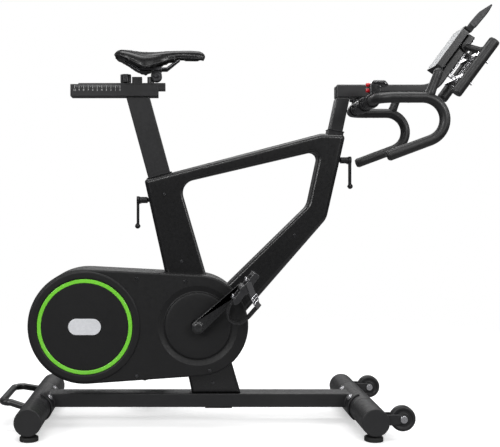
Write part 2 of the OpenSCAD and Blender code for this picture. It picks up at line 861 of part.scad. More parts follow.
module saddle() {
    rings = [for (s = saddle_sections) saddle_ring(s)];
    n = 16;
    m = len(rings);
    under = [for (s = saddle_sections) let (x = saddle_x + s[0] * saddle_len,
        h = s[2] - s[3]) for (y = [-0.5, 0, 0.5]) [x, y * s[1] * saddle_w / 2,
        s[3] + h * (y == 0 ? 0.42 : 0.36)]];
    // Join each top ring with its three underside points into one closed loop
    loops = [for (i = [0:m - 1]) concat(rings[i], [for (j = [0:2]) under[3 * i + j]])];
    k = n + 3;
    points = [for (r = loops) for (p = r) p];
    sides = [for (i = [0:m - 2]) for (j = [0:k - 1])
        let (a = i * k + j, b = i * k + (j + 1) % k)
        each [[a, b, b + k], [a, b + k, a + k]]];
    caps = [[for (j = [k - 1:-1:0]) j], [for (j = [0:k - 1]) (m - 1) * k + j]];
    color(black) polyhedron(points, concat(sides, caps), convexity = 6);
}

// ---- Clamp levers ----
// Z of these axes points into the tube that the clamp presses on
seat_lever_at = [-311 + (722.5 - seat_lever_z) * 0.2238, seat_lever_z];
bar_lever_at = [239 + (bar_lever_z - 640) * 0.2323, bar_lever_z];

module seat_lever_axis() {
    translate([seat_lever_at[0] - 6, 0, seat_lever_at[1]]) rotate([0, 90, 0]) children();
}

module bar_lever_axis() {
    translate([bar_lever_at[0] + 6, 0, bar_lever_at[1]]) rotate([0, -90, 0]) children();
}

// A threaded spindle, a boss and a hanging handle with a knob at its end.
// Local Z points into the tube, and local X points along the handle.
module lever(reach) {
    color(rubber) {
        translate([0, 0, -31]) cylinder(r = 9.5, h = 33);
        translate([0, 0, -31]) cylinder(r = 11.5, h = 9);
        translate([0, -6.5, -31]) cube([78, 13, 8]);
        translate([78, 0, -28]) sphere(8);
    }
    color(steel) translate([0, 0, -7]) cylinder(r = 6, h = reach);
}

module seat_clamp_lever() { seat_lever_axis() lever(17); }
module bar_clamp_lever() { bar_lever_axis() rotate([0, 0, 180]) lever(17); }

// ---- Handlebar ----
module bar_post() {
    color(grey_black) difference() {
        bar_axis() column(bar_post_x, bar_post_y, -150, 130);
        bar_axis() column(bar_post_x - 5, bar_post_y - 5, -151, 131);
        block([200, 400], [-60, 60], [966, 1100]);
    }
}

stem_corners = [
    [261, 966, 3], [362, 966, 3], [366, 982, 3], [559, 982, 70],
    [676, 1144.6, 3], [655.5, 1157.4, 3], [543.9, 1006, 60], [261, 1006, 6],
];

module stem() {
    half = 23;
    color(grey_black) difference() {
        soft_plate(stem_corners, half, 4);
        slab(-half + 3, half - 3) polygon(rounded(inset(stem_corners, 3)));
    }
}

module bar_clamp() {
    color(grey_black) difference() {
        union() {
            disc_y([bar_x, bar_z], bar_r + 7, -30, 30);
            block([bar_x - 16, bar_x + 16], [-23, 23], [bar_z, 966]);
            block([bar_x - 26, bar_x - 16], [-24, 24], [bar_z - 9, bar_z + 9]);
        }
        disc_y([bar_x, bar_z], bar_r, -40, 40);
    }
    color(steel) for (y = [-17, 17]) translate([bar_x - 31, y, bar_z]) rotate([0, 90, 0])
        cylinder(r = 4, h = 6);
}

module handlebar_half() {
    horn_x = 480;
    horn_r = 12.5;
    horn_top = [508, hook_y, 1014];
    start = drop_slope - 90;
    translate([bar_x + corner_r, hook_y - corner_r, bar_z]) rotate([0, 0, 90])
        rotate_extrude(angle = 90) translate([corner_r, 0]) circle(bar_r);
    // The hook, with the drop behind it and the upper straight in front
    translate([hook_x, hook_y, bar_z - hook_r]) rotate([90, 0, 0]) rotate([0, 0, start]) {
        rotate_extrude(angle = 90 - start) translate([hook_r, 0]) circle(bar_r);
        translate([hook_r, 0, 0]) rotate([90, 0, 0]) cylinder(r = bar_r, h = drop_len);
    }
    translate([bar_x + corner_r, hook_y, bar_z]) rotate([0, 90, 0])
        cylinder(r = bar_r, h = hook_x - bar_x - corner_r);
    translate([bar_x, hook_y - corner_r, bar_z]) sphere(bar_r + 0.2);
    // Upright horn over the bend
    rod([horn_x, hook_y, bar_z], horn_top, horn_r);
    translate(horn_top) sphere(horn_r);
}

module handlebar() {
    color(black) {
        disc_y([bar_x, bar_z], bar_r, corner_r - hook_y, hook_y - corner_r);
        mirror_y() handlebar_half();
    }
}

module shifter_pod() {
    color(grey_black) difference() {
        union() {
            disc_y([bar_x, bar_z], bar_r + 5, pod_y - 12, pod_y + 12);
            slab(pod_y - 17, pod_y + 17) polygon(rounded([[334, 958, 4], [366, 958, 4],
                [372, 990, 6], [334, 1001, 6]]));
            slab(pod_y - 20, pod_y + 20) polygon(rounded([[338, 989, 3], [384, 985, 4],
                [391, 988, 3], [378, 1002, 6], [346, 1003, 6]]));
        }
        disc_y([bar_x, bar_z], bar_r, 0, 200);
        for (z = [975, 991]) translate([330, pod_y, z]) rotate([0, 90, 0])
            cylinder(r = 5.6 + (z == 975 ? 0.5 : 0), h = 14);
    }
}

module shifter_pods() { mirror_y() shifter_pod(); }

module shift_button(side, z, r) {
    color(red) translate([328, side * pod_y, z]) rotate([0, 90, 0]) cylinder(r = r, h = 12);
}

module right_shift_up() { shift_button(-1, 991, 5.5); }
module right_shift_down() { shift_button(-1, 975, 6); }
module left_shift_up() { shift_button(1, 991, 5.5); }
module left_shift_down() { shift_button(1, 975, 6); }

// ---- Console ----
case_x = [-10, 132];
case_z = [18, 40];

module console_case() {
    color(grey_black) console_axis() {
        difference() {
            translate([0, 0, case_z[0]]) linear_extrude(case_z[1] - case_z[0])
                polygon(rounded([[case_x[0], -50, 8], [case_x[1], -50, 8], [case_x[1], 50, 8],
                    [case_x[0], 50, 8]]));
            block([case_x[0] + 3, case_x[1] - 3], [-47, 47], [case_z[0] + 3, case_z[1] - 3]);
            block([case_x[0] + 6, case_x[1] - 6], [-44, 44], [case_z[1] - 4, case_z[1] + 1]);
        }
        block([30, 90], [-20, 20], [12.6, case_z[0]]);
    }
}

module console_screen() {
    color(pale) console_axis()
        block([case_x[0] + 6, case_x[1] - 6], [-44, 44], [case_z[1] - 3, case_z[1]]);
}

module tablet_holder() {
    color(grey_black) console_axis() {
        block([case_x[1], 150], [-48, 48], [12.7, 30]);
        block([case_x[1], case_x[1] + 6], [-48, 48], [12.7, 38]);
        translate([0, 0, 12.7]) linear_extrude(3) polygon(rounded([[146, -62, 12],
            [196, -85, 24], [233, -60, 26], [233, 60, 26], [196, 85, 24], [146, 62, 12]]));
    }
}

rack_y = 70;
rack_r = 17;
rack_z = -53;
rack_x = [-47, 146];
cross_bar_x = [3, 82];

module rack_frame() {
    color(black) console_axis() {
        for (s = [-1, 1]) {
            difference() {
                union() {
                    translate([rack_x[0], s * rack_y, rack_z]) rotate([0, 90, 0])
                        cylinder(r = rack_r, h = rack_x[1] - rack_x[0]);
                    rod([95, s * 31.2, -4], [103, s * rack_y, rack_z], 10);
                    rod([95, s * 23.05, -2], [95, s * 31, -2], 13);
                }
                for (x = cross_bar_x) translate([x, s * rack_y, rack_z - 30])
                    cylinder(r = 3, h = 60);
            }
        }
    }
}

spring_x = [13, 44];
spring_r = 7.5;

module rack_wires() {
    bar_z0 = rack_z + rack_r;
    color(steel) console_axis() {
        for (x = cross_bar_x) {
            block([x - 7, x + 7], [-rack_y - 8, rack_y + 8], [bar_z0, bar_z0 + 3]);
            for (y = [-rack_y, rack_y]) translate([x, y, rack_z - rack_r - 6])
                cylinder(r = 3, h = 2 * rack_r + 7);
            for (y = [-rack_y, rack_y]) translate([x, y, rack_z - rack_r - 6])
                cylinder(r = 5, h = 5.8);
        }
        // Rod with two coil springs, modelled as turned sleeves with grooves
        translate([-14, 0, bar_z0 - 9]) rotate([0, 90, 0]) cylinder(r = 3, h = 105);
        for (x = cross_bar_x) translate([x - 5, -5, bar_z0 - 14]) cube([10, 10, 15]);
        for (s = spring_x) translate([s, 0, bar_z0 - 9]) rotate([0, 90, 0])
            rotate_extrude() polygon(concat([[0, 0]],
                [for (i = [0:7]) each [[spring_r, i * 3.6], [spring_r, i * 3.6 + 2.4],
                    [spring_r - 1, i * 3.6 + 3]]], [[spring_r - 1, 29], [0, 29]]));
        for (y = [-15, 15])
            wire([[96, y, -15.5], [6, y, -15.5], [6, y, bar_z0 + 1.5]], 2.2);
        translate([0, 6, 0]) rotate([90, 0, 0]) linear_extrude(12)
            polygon([[128, -13.2], [166, -18], [168, -20], [128, -16]]);
    }
}

// ---- Assembly ----
base_beam();
rear_cross_tube();
front_cross_tube();
cross_tube_sleeves();
base_fasteners();
rear_handle();
main_frame();
post_bushes();
right_housing();
left_housing();
green_ring();
flywheel_cover();
badge();
crank_covers();
cover_screws();
flywheel_axle();
bearings();
drive_belt();
brake_unit();
idler_arm();
idler_wheel();
magnet_carrier();
flywheel();
flywheel_pulley();
crank_axle();
drive_pulley();
right_crank();
left_crank();
right_pedal();
right_toe_cage();
left_pedal();
left_toe_cage();
foot_rear_right();
foot_rear_left();
foot_front_right();
foot_front_left();
right_transport_wheel();
left_transport_wheel();
seat_post();
seat_slider();
seat_knob();
saddle_clamp();
saddle_rails();
saddle();
seat_clamp_lever();
bar_clamp_lever();
bar_post();
stem();
bar_clamp();
handlebar();
shifter_pods();
right_shift_up();
right_shift_down();
left_shift_up();
left_shift_down();
console_case();
console_screen();
tablet_holder();
rack_frame();
rack_wires();
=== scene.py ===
"""Looks of the indoor exercise bike: smooth rebuilt pieces, procedural finishes, floor and lights.
The helpers take millimetres and write meshes in metres. +X is forward, -Y is the drive side, +Z is up."""
import json
import math

import bmesh
import bpy
from mathutils import Matrix, Vector
from mathutils.bvhtree import BVHTree


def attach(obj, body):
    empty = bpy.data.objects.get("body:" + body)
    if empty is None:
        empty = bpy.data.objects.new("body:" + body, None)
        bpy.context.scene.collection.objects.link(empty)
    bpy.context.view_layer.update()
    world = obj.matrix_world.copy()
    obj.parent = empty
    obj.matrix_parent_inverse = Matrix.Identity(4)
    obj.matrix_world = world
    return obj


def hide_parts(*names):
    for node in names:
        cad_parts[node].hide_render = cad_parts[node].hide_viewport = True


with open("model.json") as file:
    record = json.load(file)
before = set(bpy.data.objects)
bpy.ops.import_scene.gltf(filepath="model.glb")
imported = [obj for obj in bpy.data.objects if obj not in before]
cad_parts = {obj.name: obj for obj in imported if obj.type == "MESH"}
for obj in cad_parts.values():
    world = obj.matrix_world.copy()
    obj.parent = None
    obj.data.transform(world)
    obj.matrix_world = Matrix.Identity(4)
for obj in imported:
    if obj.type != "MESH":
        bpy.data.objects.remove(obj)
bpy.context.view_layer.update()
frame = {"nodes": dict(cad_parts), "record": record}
MM = 0.001
scene = bpy.context.scene
bodies = frame["record"]["behaviour"]["bodies"]
body_of_node = {node: body for body, nodes in bodies.items() for node in nodes}

# ---------------------------------------------------------------- materials


def new_material(name):
    m = bpy.data.materials.new(name)
    m.use_nodes = True
    t = m.node_tree
    t.nodes.clear()
    out = t.nodes.new("ShaderNodeOutputMaterial")
    bsdf = t.nodes.new("ShaderNodeBsdfPrincipled")
    t.links.new(bsdf.outputs[0], out.inputs[0])
    return m, t, bsdf


def add(t, kind, **values):
    n = t.nodes.new(kind)
    for k, v in values.items():
        if k in n.inputs:
            n.inputs[k].default_value = v
        else:
            setattr(n, k, v)
    return n


def noise_node(t, where, scale, detail=3.0, rough=0.55):
    n = add(t, "ShaderNodeTexNoise", Scale=scale, Detail=detail, Roughness=rough)
    t.links.new(where, n.inputs["Vector"])
    return n.outputs["Fac"]


def remap(t, value, a, b, c, d):
    n = t.nodes.new("ShaderNodeMapRange")
    n.inputs["From Min"].default_value = a
    n.inputs["From Max"].default_value = b
    n.inputs["To Min"].default_value = c
    n.inputs["To Max"].default_value = d
    t.links.new(value, n.inputs["Value"])
    return n.outputs["Result"]


def mix_colour(t, fac, a, b):
    n = t.nodes.new("ShaderNodeMix")
    n.data_type = "RGBA"
    for value, i in ((fac, 0), (a, 6), (b, 7)):
        if isinstance(value, (tuple, list)):
            n.inputs[i].default_value = (*value[:3], 1.0)
        elif isinstance(value, float):
            n.inputs[i].default_value = value
        else:
            t.links.new(value, n.inputs[i])
    return n.outputs[2]


def math_node(t, op, a, b=None):
    n = t.nodes.new("ShaderNodeMath")
    n.operation = op
    for i, v in enumerate((a, b)):
        if v is None:
            continue
        if isinstance(v, (int, float)):
            n.inputs[i].default_value = v
        else:
            t.links.new(v, n.inputs[i])
    return n.outputs[0]


def edge_mask(t, radius):
    """1 on convex and concave edges, 0 on flats."""
    bev = add(t, "ShaderNodeBevel", Radius=radius)
    bev.samples = 4
    geo = t.nodes.new("ShaderNodeNewGeometry")
    dot = t.nodes.new("ShaderNodeVectorMath")
    dot.operation = "DOT_PRODUCT"
    t.links.new(bev.outputs[0], dot.inputs[0])
    t.links.new(geo.outputs["Normal"], dot.inputs[1])
    return remap(t, dot.outputs["Value"], 0.78, 0.97, 1.0, 0.0)


def finish_of(name, colour, rough, metallic=0.0, coat=0.0, coat_rough=0.1, sheen=0.0, specular=0.5,
              grain=1400.0, depth=0.00002, tone=0.14, rough_var=0.10, wear=0.35, wear_colour=None,
              wear_rough=0.35, brushed=None, kind="grain", aniso=0.0):
    """A procedural finish: mottled colour, varied roughness, fine bump and rubbed edges."""
    m, t, b = new_material(name)
    where = t.nodes.new("ShaderNodeTexCoord").outputs["Object"]
    big = noise_node(t, where, 9.0, 4.0)
    mid = noise_node(t, where, 70.0, 3.0)
    dark = tuple(c * (1 - tone) for c in colour)
    light = tuple(min(1.0, c * (1 + tone)) for c in colour)
    mottle = mix_colour(t, remap(t, big, 0.35, 0.65, 0.0, 1.0), dark, light)
    if wear_colour is None:
        wear_colour = tuple(min(1.0, c * 2.0 + 0.02) for c in colour)
    edge = math_node(t, "MULTIPLY", edge_mask(t, 0.0016), remap(t, mid, 0.38, 0.62, 0.15, 1.0))
    edge = math_node(t, "MULTIPLY", edge, wear)
    t.links.new(mix_colour(t, edge, mottle, wear_colour), b.inputs["Base Color"])
    stretched = where
    if brushed is not None:
        mapping = t.nodes.new("ShaderNodeMapping")
        mapping.inputs["Scale"].default_value = brushed
        t.links.new(where, mapping.inputs["Vector"])
        stretched = mapping.outputs[0]
    if kind == "leather":
        v = t.nodes.new("ShaderNodeTexVoronoi")
        v.feature = "DISTANCE_TO_EDGE"
        v.inputs["Scale"].default_value = grain
        t.links.new(where, v.inputs["Vector"])
        fine = remap(t, v.outputs["Distance"], 0.0, 0.22, 0.0, 1.0)
    elif kind == "dots":
        v = t.nodes.new("ShaderNodeTexVoronoi")
        v.inputs["Scale"].default_value = grain
        t.links.new(where, v.inputs["Vector"])
        fine = remap(t, v.outputs["Distance"], 0.1, 0.6, 1.0, 0.0)
    else:
        fine = noise_node(t, stretched, grain, 2.0, 0.6)
    low, high = max(0.02, rough - rough_var), min(1.0, rough + rough_var)
    varied = remap(t, noise_node(t, stretched, 120.0 if brushed is None else grain * 0.4, 3.0),
                   0.3, 0.7, low, high)
    mixed = t.nodes.new("ShaderNodeMix")
    mixed.data_type = "FLOAT"
    t.links.new(edge, mixed.inputs[0])
    t.links.new(varied, mixed.inputs[2])
    mixed.inputs[3].default_value = wear_rough
    t.links.new(mixed.outputs[0], b.inputs["Roughness"])
    bump = add(t, "ShaderNodeBump", Strength=1.0, Distance=depth)
    t.links.new(fine, bump.inputs["Height"])
    t.links.new(bump.outputs[0], b.inputs["Normal"])
    b.inputs["Metallic"].default_value = metallic
    b.inputs["Specular IOR Level"].default_value = specular
    b.inputs["Coat Weight"].default_value = coat
    b.inputs["Coat Roughness"].default_value = coat_rough
    b.inputs["Sheen Weight"].default_value = sheen
    b.inputs["Sheen Roughness"].default_value = 0.4
    b.inputs["Anisotropic"].default_value = aniso
    return m


steel_wear = (0.42, 0.42, 0.43)
M = {
    "base_paint": finish_of("base_paint", (0.017, 0.017, 0.018), 0.46, coat=0.1, coat_rough=0.35,
                            depth=0.00001, grain=900, wear=0.35, specular=0.45),
    "base_plastic": finish_of("base_plastic", (0.020, 0.020, 0.021), 0.50, depth=0.00001, grain=1100,
                              specular=0.45),
    "frame_paint": finish_of("frame_paint", (0.0085, 0.0085, 0.009), 0.30, coat=0.35, coat_rough=0.14,
                             depth=0.0000015, grain=1600, wear=0.3, tone=0.10, rough_var=0.04),
    "post_paint": finish_of("post_paint", (0.019, 0.019, 0.020), 0.38, coat=0.2, coat_rough=0.25,
                            depth=0.000004, grain=1300, rough_var=0.05),
    "crank_paint": finish_of("crank_paint", (0.018, 0.018, 0.019), 0.30, coat=0.4, coat_rough=0.15,
                             depth=0.00001),
    "housing_plastic": finish_of("housing_plastic", (0.0105, 0.0105, 0.011), 0.52, kind="dots",
                                 grain=1500, depth=0.000008, wear=0.25, tone=0.08, coat=0.06,
                                 coat_rough=0.3, specular=0.32),
    "cover_plastic": finish_of("cover_plastic", (0.0095, 0.0095, 0.010), 0.54, kind="dots", grain=1700,
                               depth=0.000008, wear=0.25, tone=0.08, specular=0.32),
    "green_trim": finish_of("green_trim", (0.22, 0.76, 0.05), 0.30, coat=0.5, coat_rough=0.1,
                            tone=0.07, wear=0.25, wear_colour=(0.50, 0.95, 0.30), depth=0.00001),
    "badge_plate": finish_of("badge_plate", (0.80, 0.81, 0.84), 0.28, coat=0.4, tone=0.04, wear=0.2,
                             wear_colour=(0.9, 0.9, 0.92), depth=0.00001),
    "black_plastic": finish_of("black_plastic", (0.011, 0.011, 0.012), 0.44, depth=0.00002, grain=1200),
    "lever_plastic": finish_of("lever_plastic", (0.010, 0.010, 0.011), 0.38, depth=0.00002, grain=1000),
    "console_plastic": finish_of("console_plastic", (0.020, 0.020, 0.021), 0.34, coat=0.3,
                                 coat_rough=0.2, depth=0.00001),
    "console_glass": finish_of("console_glass", (0.50, 0.51, 0.52), 0.60, specular=0.12, tone=0.05, wear=0.1,
                               depth=0.000004),
    "red_button": finish_of("red_button", (0.62, 0.008, 0.016), 0.30, coat=0.5, tone=0.1, wear=0.2,
                            wear_colour=(0.85, 0.2, 0.2), depth=0.00001),
    "bar_coating": finish_of("bar_coating", (0.0135, 0.0135, 0.014), 0.42, sheen=0.08, kind="dots",
                             grain=1300, depth=0.000012, wear=0.15, coat=0.12, coat_rough=0.35),
    "saddle_cover": finish_of("saddle_cover", (0.0030, 0.0030, 0.0032), 0.30, coat=0.15, coat_rough=0.15,
                              specular=0.35, kind="leather", grain=900, depth=0.000008, wear=0.1,
                              tone=0.08, rough_var=0.05),
    "cage_plastic": finish_of("cage_plastic", (0.020, 0.020, 0.021), 0.42, depth=0.00003, grain=1200),
    "pedal_metal": finish_of("pedal_metal", (0.030, 0.030, 0.032), 0.36, coat=0.3, wear=0.6,
                             wear_colour=steel_wear),
    "foot_rubber": finish_of("foot_rubber", (0.014, 0.014, 0.014), 0.62, depth=0.00004, grain=900),
    "wheel_rubber": finish_of("wheel_rubber", (0.014, 0.014, 0.015), 0.45, depth=0.00002, grain=900),
    "belt_rubber": finish_of("belt_rubber", (0.014, 0.014, 0.014), 0.6, depth=0.00004, grain=900),
    "bright_steel": finish_of("bright_steel", (0.58, 0.58, 0.60), 0.26, metallic=1.0, wear=0.4,
                              wear_colour=(0.8, 0.8, 0.82), wear_rough=0.15, depth=0.000008,
                              brushed=(1.0, 0.12, 1.0), grain=1500, aniso=0.3),
    "dark_steel": finish_of("dark_steel", (0.09, 0.09, 0.095), 0.34, metallic=1.0, wear=0.6,
                            wear_colour=steel_wear, depth=0.00001),
    "chrome_wire": finish_of("chrome_wire", (0.90, 0.90, 0.92), 0.26, metallic=0.85, rough_var=0.05,
                             tone=0.05, wear=0.2, wear_colour=(0.95, 0.95, 0.96), depth=0.000004),
    "cast_metal": finish_of("cast_metal", (0.22, 0.22, 0.23), 0.42, metallic=1.0, wear=0.5,
                            wear_colour=steel_wear, depth=0.00006, grain=500),
    "alloy": finish_of("alloy", (0.56, 0.57, 0.58), 0.30, metallic=1.0, depth=0.00001),
}
white_ink = finish_of("scale_ink", (0.62, 0.62, 0.62), 0.5, tone=0.06, wear=0.2, depth=0.00001)
clamp_gloss = finish_of("clamp_gloss", (0.016, 0.016, 0.017), 0.24, coat=0.6, coat_rough=0.12, tone=0.08,
                        wear=0.5, depth=0.000006)
tablet_matt = finish_of("tablet_matt", (0.045, 0.045, 0.047), 0.75, tone=0.08, wear=0.2, specular=0.08,
                        depth=0.000005)
strap_grey = finish_of("strap_webbing", (0.060, 0.060, 0.063), 0.55, sheen=0.2, tone=0.12, wear=0.15,
                       depth=0.00004, grain=2600, brushed=(1.0, 0.25, 1.0))
# The material slot that each CAD node carries
slot_of = {}
for node_name, obj in frame["nodes"].items():
    mat = obj.data.materials[0] if obj.data.materials else None
    slot_of[node_name] = mat.name.split(".")[0] if mat else "black_plastic"

# ---------------------------------------------------------------- mesh helpers


def weld_normals(o, angle):
    o.data.shade_smooth()
    o.data.set_sharp_from_angle(angle=math.radians(angle))
    w = o.modifiers.new("normals", "WEIGHTED_NORMAL")
    w.keep_sharp = True
    w.weight = 60


def settle(o, body, slot, nodes=(), angle=38, material=None, bevel=0.0, segments=2, bevel_angle=32):
    """Gives a finished mesh its material, picked by slot unless one is given, optional rounded edges and
    smooth shading, hangs it under its body and hides the CAD nodes it stands for.
    """
    if bevel > 0:
        b = o.modifiers.new("edges", "BEVEL")
        b.width = bevel * MM
        b.segments = segments
        b.limit_method = "ANGLE"
        b.angle_limit = math.radians(bevel_angle)
        b.use_clamp_overlap = False
        b.miter_outer = "MITER_ARC"
    o.data.materials.clear()
    o.data.materials.append(material or M[slot])
    weld_normals(o, angle)
    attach(o, body)
    if nodes:
        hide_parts(*nodes)
    return o


def build(name, verts, faces, body, slot, nodes=(), scale=MM, **look):
    me = bpy.data.meshes.new(name)
    me.from_pydata([Vector(v) * scale for v in verts], [], faces)
    bm = bmesh.new()
    bm.from_mesh(me)
    bmesh.ops.remove_doubles(bm, verts=bm.verts, dist=1e-6)
    bmesh.ops.recalc_face_normals(bm, faces=bm.faces)
    bm.to_mesh(me)
    bm.free()
    me.update()
    o = bpy.data.objects.new(name, me)
    scene.collection.objects.link(o)
    return settle(o, body, slot, nodes, **look)


def soften(node, bevel=0.8, slot=None, angle=38, material=None, segments=2, bevel_angle=32):
    """A copy of a CAD node with joined faces, rounded edges and smooth shading."""
    bm = bmesh.new()
    bm.from_mesh(frame["nodes"][node].data)
    bmesh.ops.remove_doubles(bm, verts=bm.verts, dist=2e-5)
    bmesh.ops.dissolve_limit(bm, angle_limit=math.radians(0.8), use_dissolve_boundaries=False,
                             verts=bm.verts, edges=bm.edges)
    bm.verts.ensure_lookup_table()
    verts = [v.co.copy() for v in bm.verts]
    faces = [[v.index for v in f.verts] for f in bm.faces]
    bm.free()
    return build(node + "_look", verts, faces, body_of_node[node], slot or slot_of[node], [node],
                 scale=1.0, angle=angle, material=material, bevel=bevel, segments=segments,
                 bevel_angle=bevel_angle)


def fillet(p, q, s, r, steps):
    a, b = (p - q).normalized(), (s - q).normalized()
    half = math.acos(max(-1.0, min(1.0, a.dot(b)))) / 2
    c = q + (a + b).normalized() * (r / math.sin(half))
    u = q + a * (r / math.tan(half)) - c
    v = q + b * (r / math.tan(half)) - c
    start = math.atan2(u.y, u.x)
    turn = math.atan2(u.x * v.y - u.y * v.x, u.dot(v))
    return [c + r * Vector((math.cos(start + turn * i / steps), math.sin(start + turn * i / steps)))
            for i in range(steps + 1)]


def rounded(corners, steps=10):
    pts = [Vector((x, z)) for x, z, _ in corners]
    out = []
    for i, (_, _, r) in enumerate(corners):
        out += fillet(pts[i - 1], pts[i], pts[(i + 1) % len(pts)], max(r, 0.3), steps)
    return out


def inset(corners, d):
    pts = [Vector((x, z)) for x, z, _ in corners]
    out = []
    for i, (_, _, r) in enumerate(corners):
        e = (pts[i] - pts[i - 1]).normalized()
        f = (pts[(i + 1) % len(pts)] - pts[i]).normalized()
        m, n = Vector((-e.y, e.x)), Vector((-f.y, f.x))
        convex = e.x * f.y - e.y * f.x > 0
        moved = pts[i] + (m + n) * d / (1 + m.dot(n))
        out.append((moved.x, moved.y, max(1.0, r - d if convex else r + d) if r > 0 else 0))
    return out


class Shape:
    """Collects vertices and faces of one piece, in millimetres."""

    def __init__(self):
        self.v, self.f = [], []

    def ring(self, points):
        first = len(self.v)
        self.v += [tuple(p) for p in points]
        return list(range(first, first + len(points)))

    def bridge(self, a, b, closed=True):
        n = len(a)
        for i in range(n if closed else n - 1):
            j = (i + 1) % n
            self.f.append([a[i], a[j], b[j], b[i]])

    def cap(self, a):
        self.f.append(list(a))

    def fill(self, *loops):
        """Fills the flat area between closed loops."""
        bm = bmesh.new()
        edges = []
        index = []
        for loop in loops:
            vs = [bm.verts.new(Vector(self.v[i])) for i in loop]
            index += list(loop)
            edges += [bm.edges.new((vs[k], vs[(k + 1) % len(vs)])) for k in range(len(vs))]
        bm.verts.index_update()
        bmesh.ops.triangle_fill(bm, edges=edges, use_beauty=True)
        bm.verts.index_update()
        for face in bm.faces:
            self.f.append([index[v.index] for v in face.verts])
        bm.free()

    def lathe(self, c, profile, n=96, y_sign=1.0, closed=False):
        """Turns [radius, y] points round an axis along Y at c."""
        rings = []
        for r, y in profile:
            rings.append(self.ring([(c[0] + r * math.cos(2 * math.pi * k / n), y * y_sign,
                                     c[1] + r * math.sin(2 * math.pi * k / n)) for k in range(n)]))
        for a, b in zip(rings, rings[1:]):
            self.bridge(a, b)
        if closed:
            self.bridge(rings[-1], rings[0])
        return rings

    def box(self, lo, hi):
        x, y, z = zip(lo, hi)
        b = self.ring([(x[0], y[0], z[0]), (x[1], y[0], z[0]), (x[1], y[1], z[0]), (x[0], y[1], z[0])])
        t = self.ring([(x[0], y[0], z[1]), (x[1], y[0], z[1]), (x[1], y[1], z[1]), (x[0], y[1], z[1])])
        self.bridge(b, t)
        self.cap(b)
        self.cap(t)

    def tube(self, path, radius, n=24, dome=0.0, closed=False, flat=None):
        """Sweeps a round, or flat=(width, height), section along a path."""
        path = [Vector(p) for p in path]
        count = len(path)
        radii = radius if isinstance(radius, (list, tuple)) else [radius] * count
        tangents = []
        for i in range(count):
            a, b = path[max(i - 1, 0)], path[min(i + 1, count - 1)]
            if closed:
                a, b = path[i - 1], path[(i + 1) % count]
            tangents.append((b - a).normalized())
        t0 = tangents[0]
        side = t0.cross(Vector((0, 1, 0)))
        if side.length < 0.2:
            side = t0.cross(Vector((0, 0, 1)))
        side.normalize()
        rings = []
        for i in range(count):
            t = tangents[i]
            side = (side - t * side.dot(t)).normalized()
            up = t.cross(side)
            ring = []
            for k in range(n):
                a = 2 * math.pi * k / n
                ca, sa = math.cos(a), math.sin(a)
                if flat:
                    e = 0.35
                    ca = math.copysign(abs(ca) ** e, ca) * flat[0] / 2
                    sa = math.copysign(abs(sa) ** e, sa) * flat[1] / 2
                    ring.append(path[i] + side * ca + up * sa)
                else:
                    ring.append(path[i] + (side * ca + up * sa) * radii[i])
            rings.append(self.ring(ring))
        for a, b in zip(rings, rings[1:]):
            self.bridge(a, b)
        if closed:
            self.bridge(rings[-1], rings[0])
            return
        for end, sign in ((0, -1), (count - 1, 1)):
            ring = rings[end]
            base = [Vector(self.v[i]) for i in ring]
            centre = path[end]
            last = ring
            if dome > 0:
                for s in (30, 60, 80):
                    a = math.radians(s)
                    nxt = self.ring([centre + (p - centre) * math.cos(a)
                                     + tangents[end] * sign * dome * math.sin(a) for p in base])
                    self.bridge(last, nxt)
                    last = nxt
            self.cap(last)

    def make(self, name, body, slot, nodes=(), **look):
        return build(name, self.v, self.f, body, slot, nodes, **look)


def flat_ring(points, y):
    return [(p.x, y, p.y) for p in points]


def plate(shape, corners, half, edge, hole=None, hole_edge=None, steps=8, corner_steps=10):
    """A plate drawn in X and Z with quarter-round edges, and a hole with softer ones."""
    sides = {}
    for s in (-1, 1):
        loops, inner = [], []
        for k in range(steps + 1):
            a = math.radians(90 * k / steps)
            back, y = edge * (1 - math.cos(a)), half - edge + edge * math.sin(a)
            loops.append(shape.ring(flat_ring(rounded(inset(corners, back), corner_steps), s * y)))
            if hole:
                e = hole_edge or edge / 2
                back, y = e * (1 - math.cos(a)), half - e + e * math.sin(a)
                inner.append(shape.ring(flat_ring(rounded(inset(hole, -back), corner_steps), s * y)))
        for group in (loops, inner):
            for a, b in zip(group, group[1:]):
                shape.bridge(a, b)
        if hole:
            shape.fill(loops[-1], inner[-1])
        else:
            shape.fill(loops[-1])
        sides[s] = (loops, inner)
    shape.bridge(sides[-1][0][0], sides[1][0][0])
    if hole:
        shape.bridge(sides[-1][1][0], sides[1][1][0])


def arc_points(c, r, a0, a1, n):
    return [(c[0] + r * math.cos(math.radians(a0 + (a1 - a0) * i / n)),
             c[1] + r * math.sin(math.radians(a0 + (a1 - a0) * i / n))) for i in range(n + 1)]


# ---------------------------------------------------------------- frame and housing
crank_c, fly_c = (-153, 296), (-482, 293)
frame_outer = [(-169, 88, 0), (-24, 88, 0), (-73, 257, 30), (231, 606, 60), (288, 857, 12),
               (215, 860, 40), (-311, 722.5, 10)]
frame_hole = [(-106, 369, 12), (177, 646, 50), (212, 810, 20), (-206, 712, 40)]

s = Shape()
plate(s, frame_outer, 35, 15, frame_hole, 9, steps=8, corner_steps=12)
for y0 in (23, -35):
    s.box((fly_c[0], y0, fly_c[1] - 22), (-190, y0 + 12, fly_c[1] + 22))
    s.lathe(fly_c, [(12, y0), (31, y0), (31, y0 + 12), (12, y0 + 12)], 48, closed=True)
s.make("frame_shell", "frame", "frame_paint", ["main_frame"], angle=40)


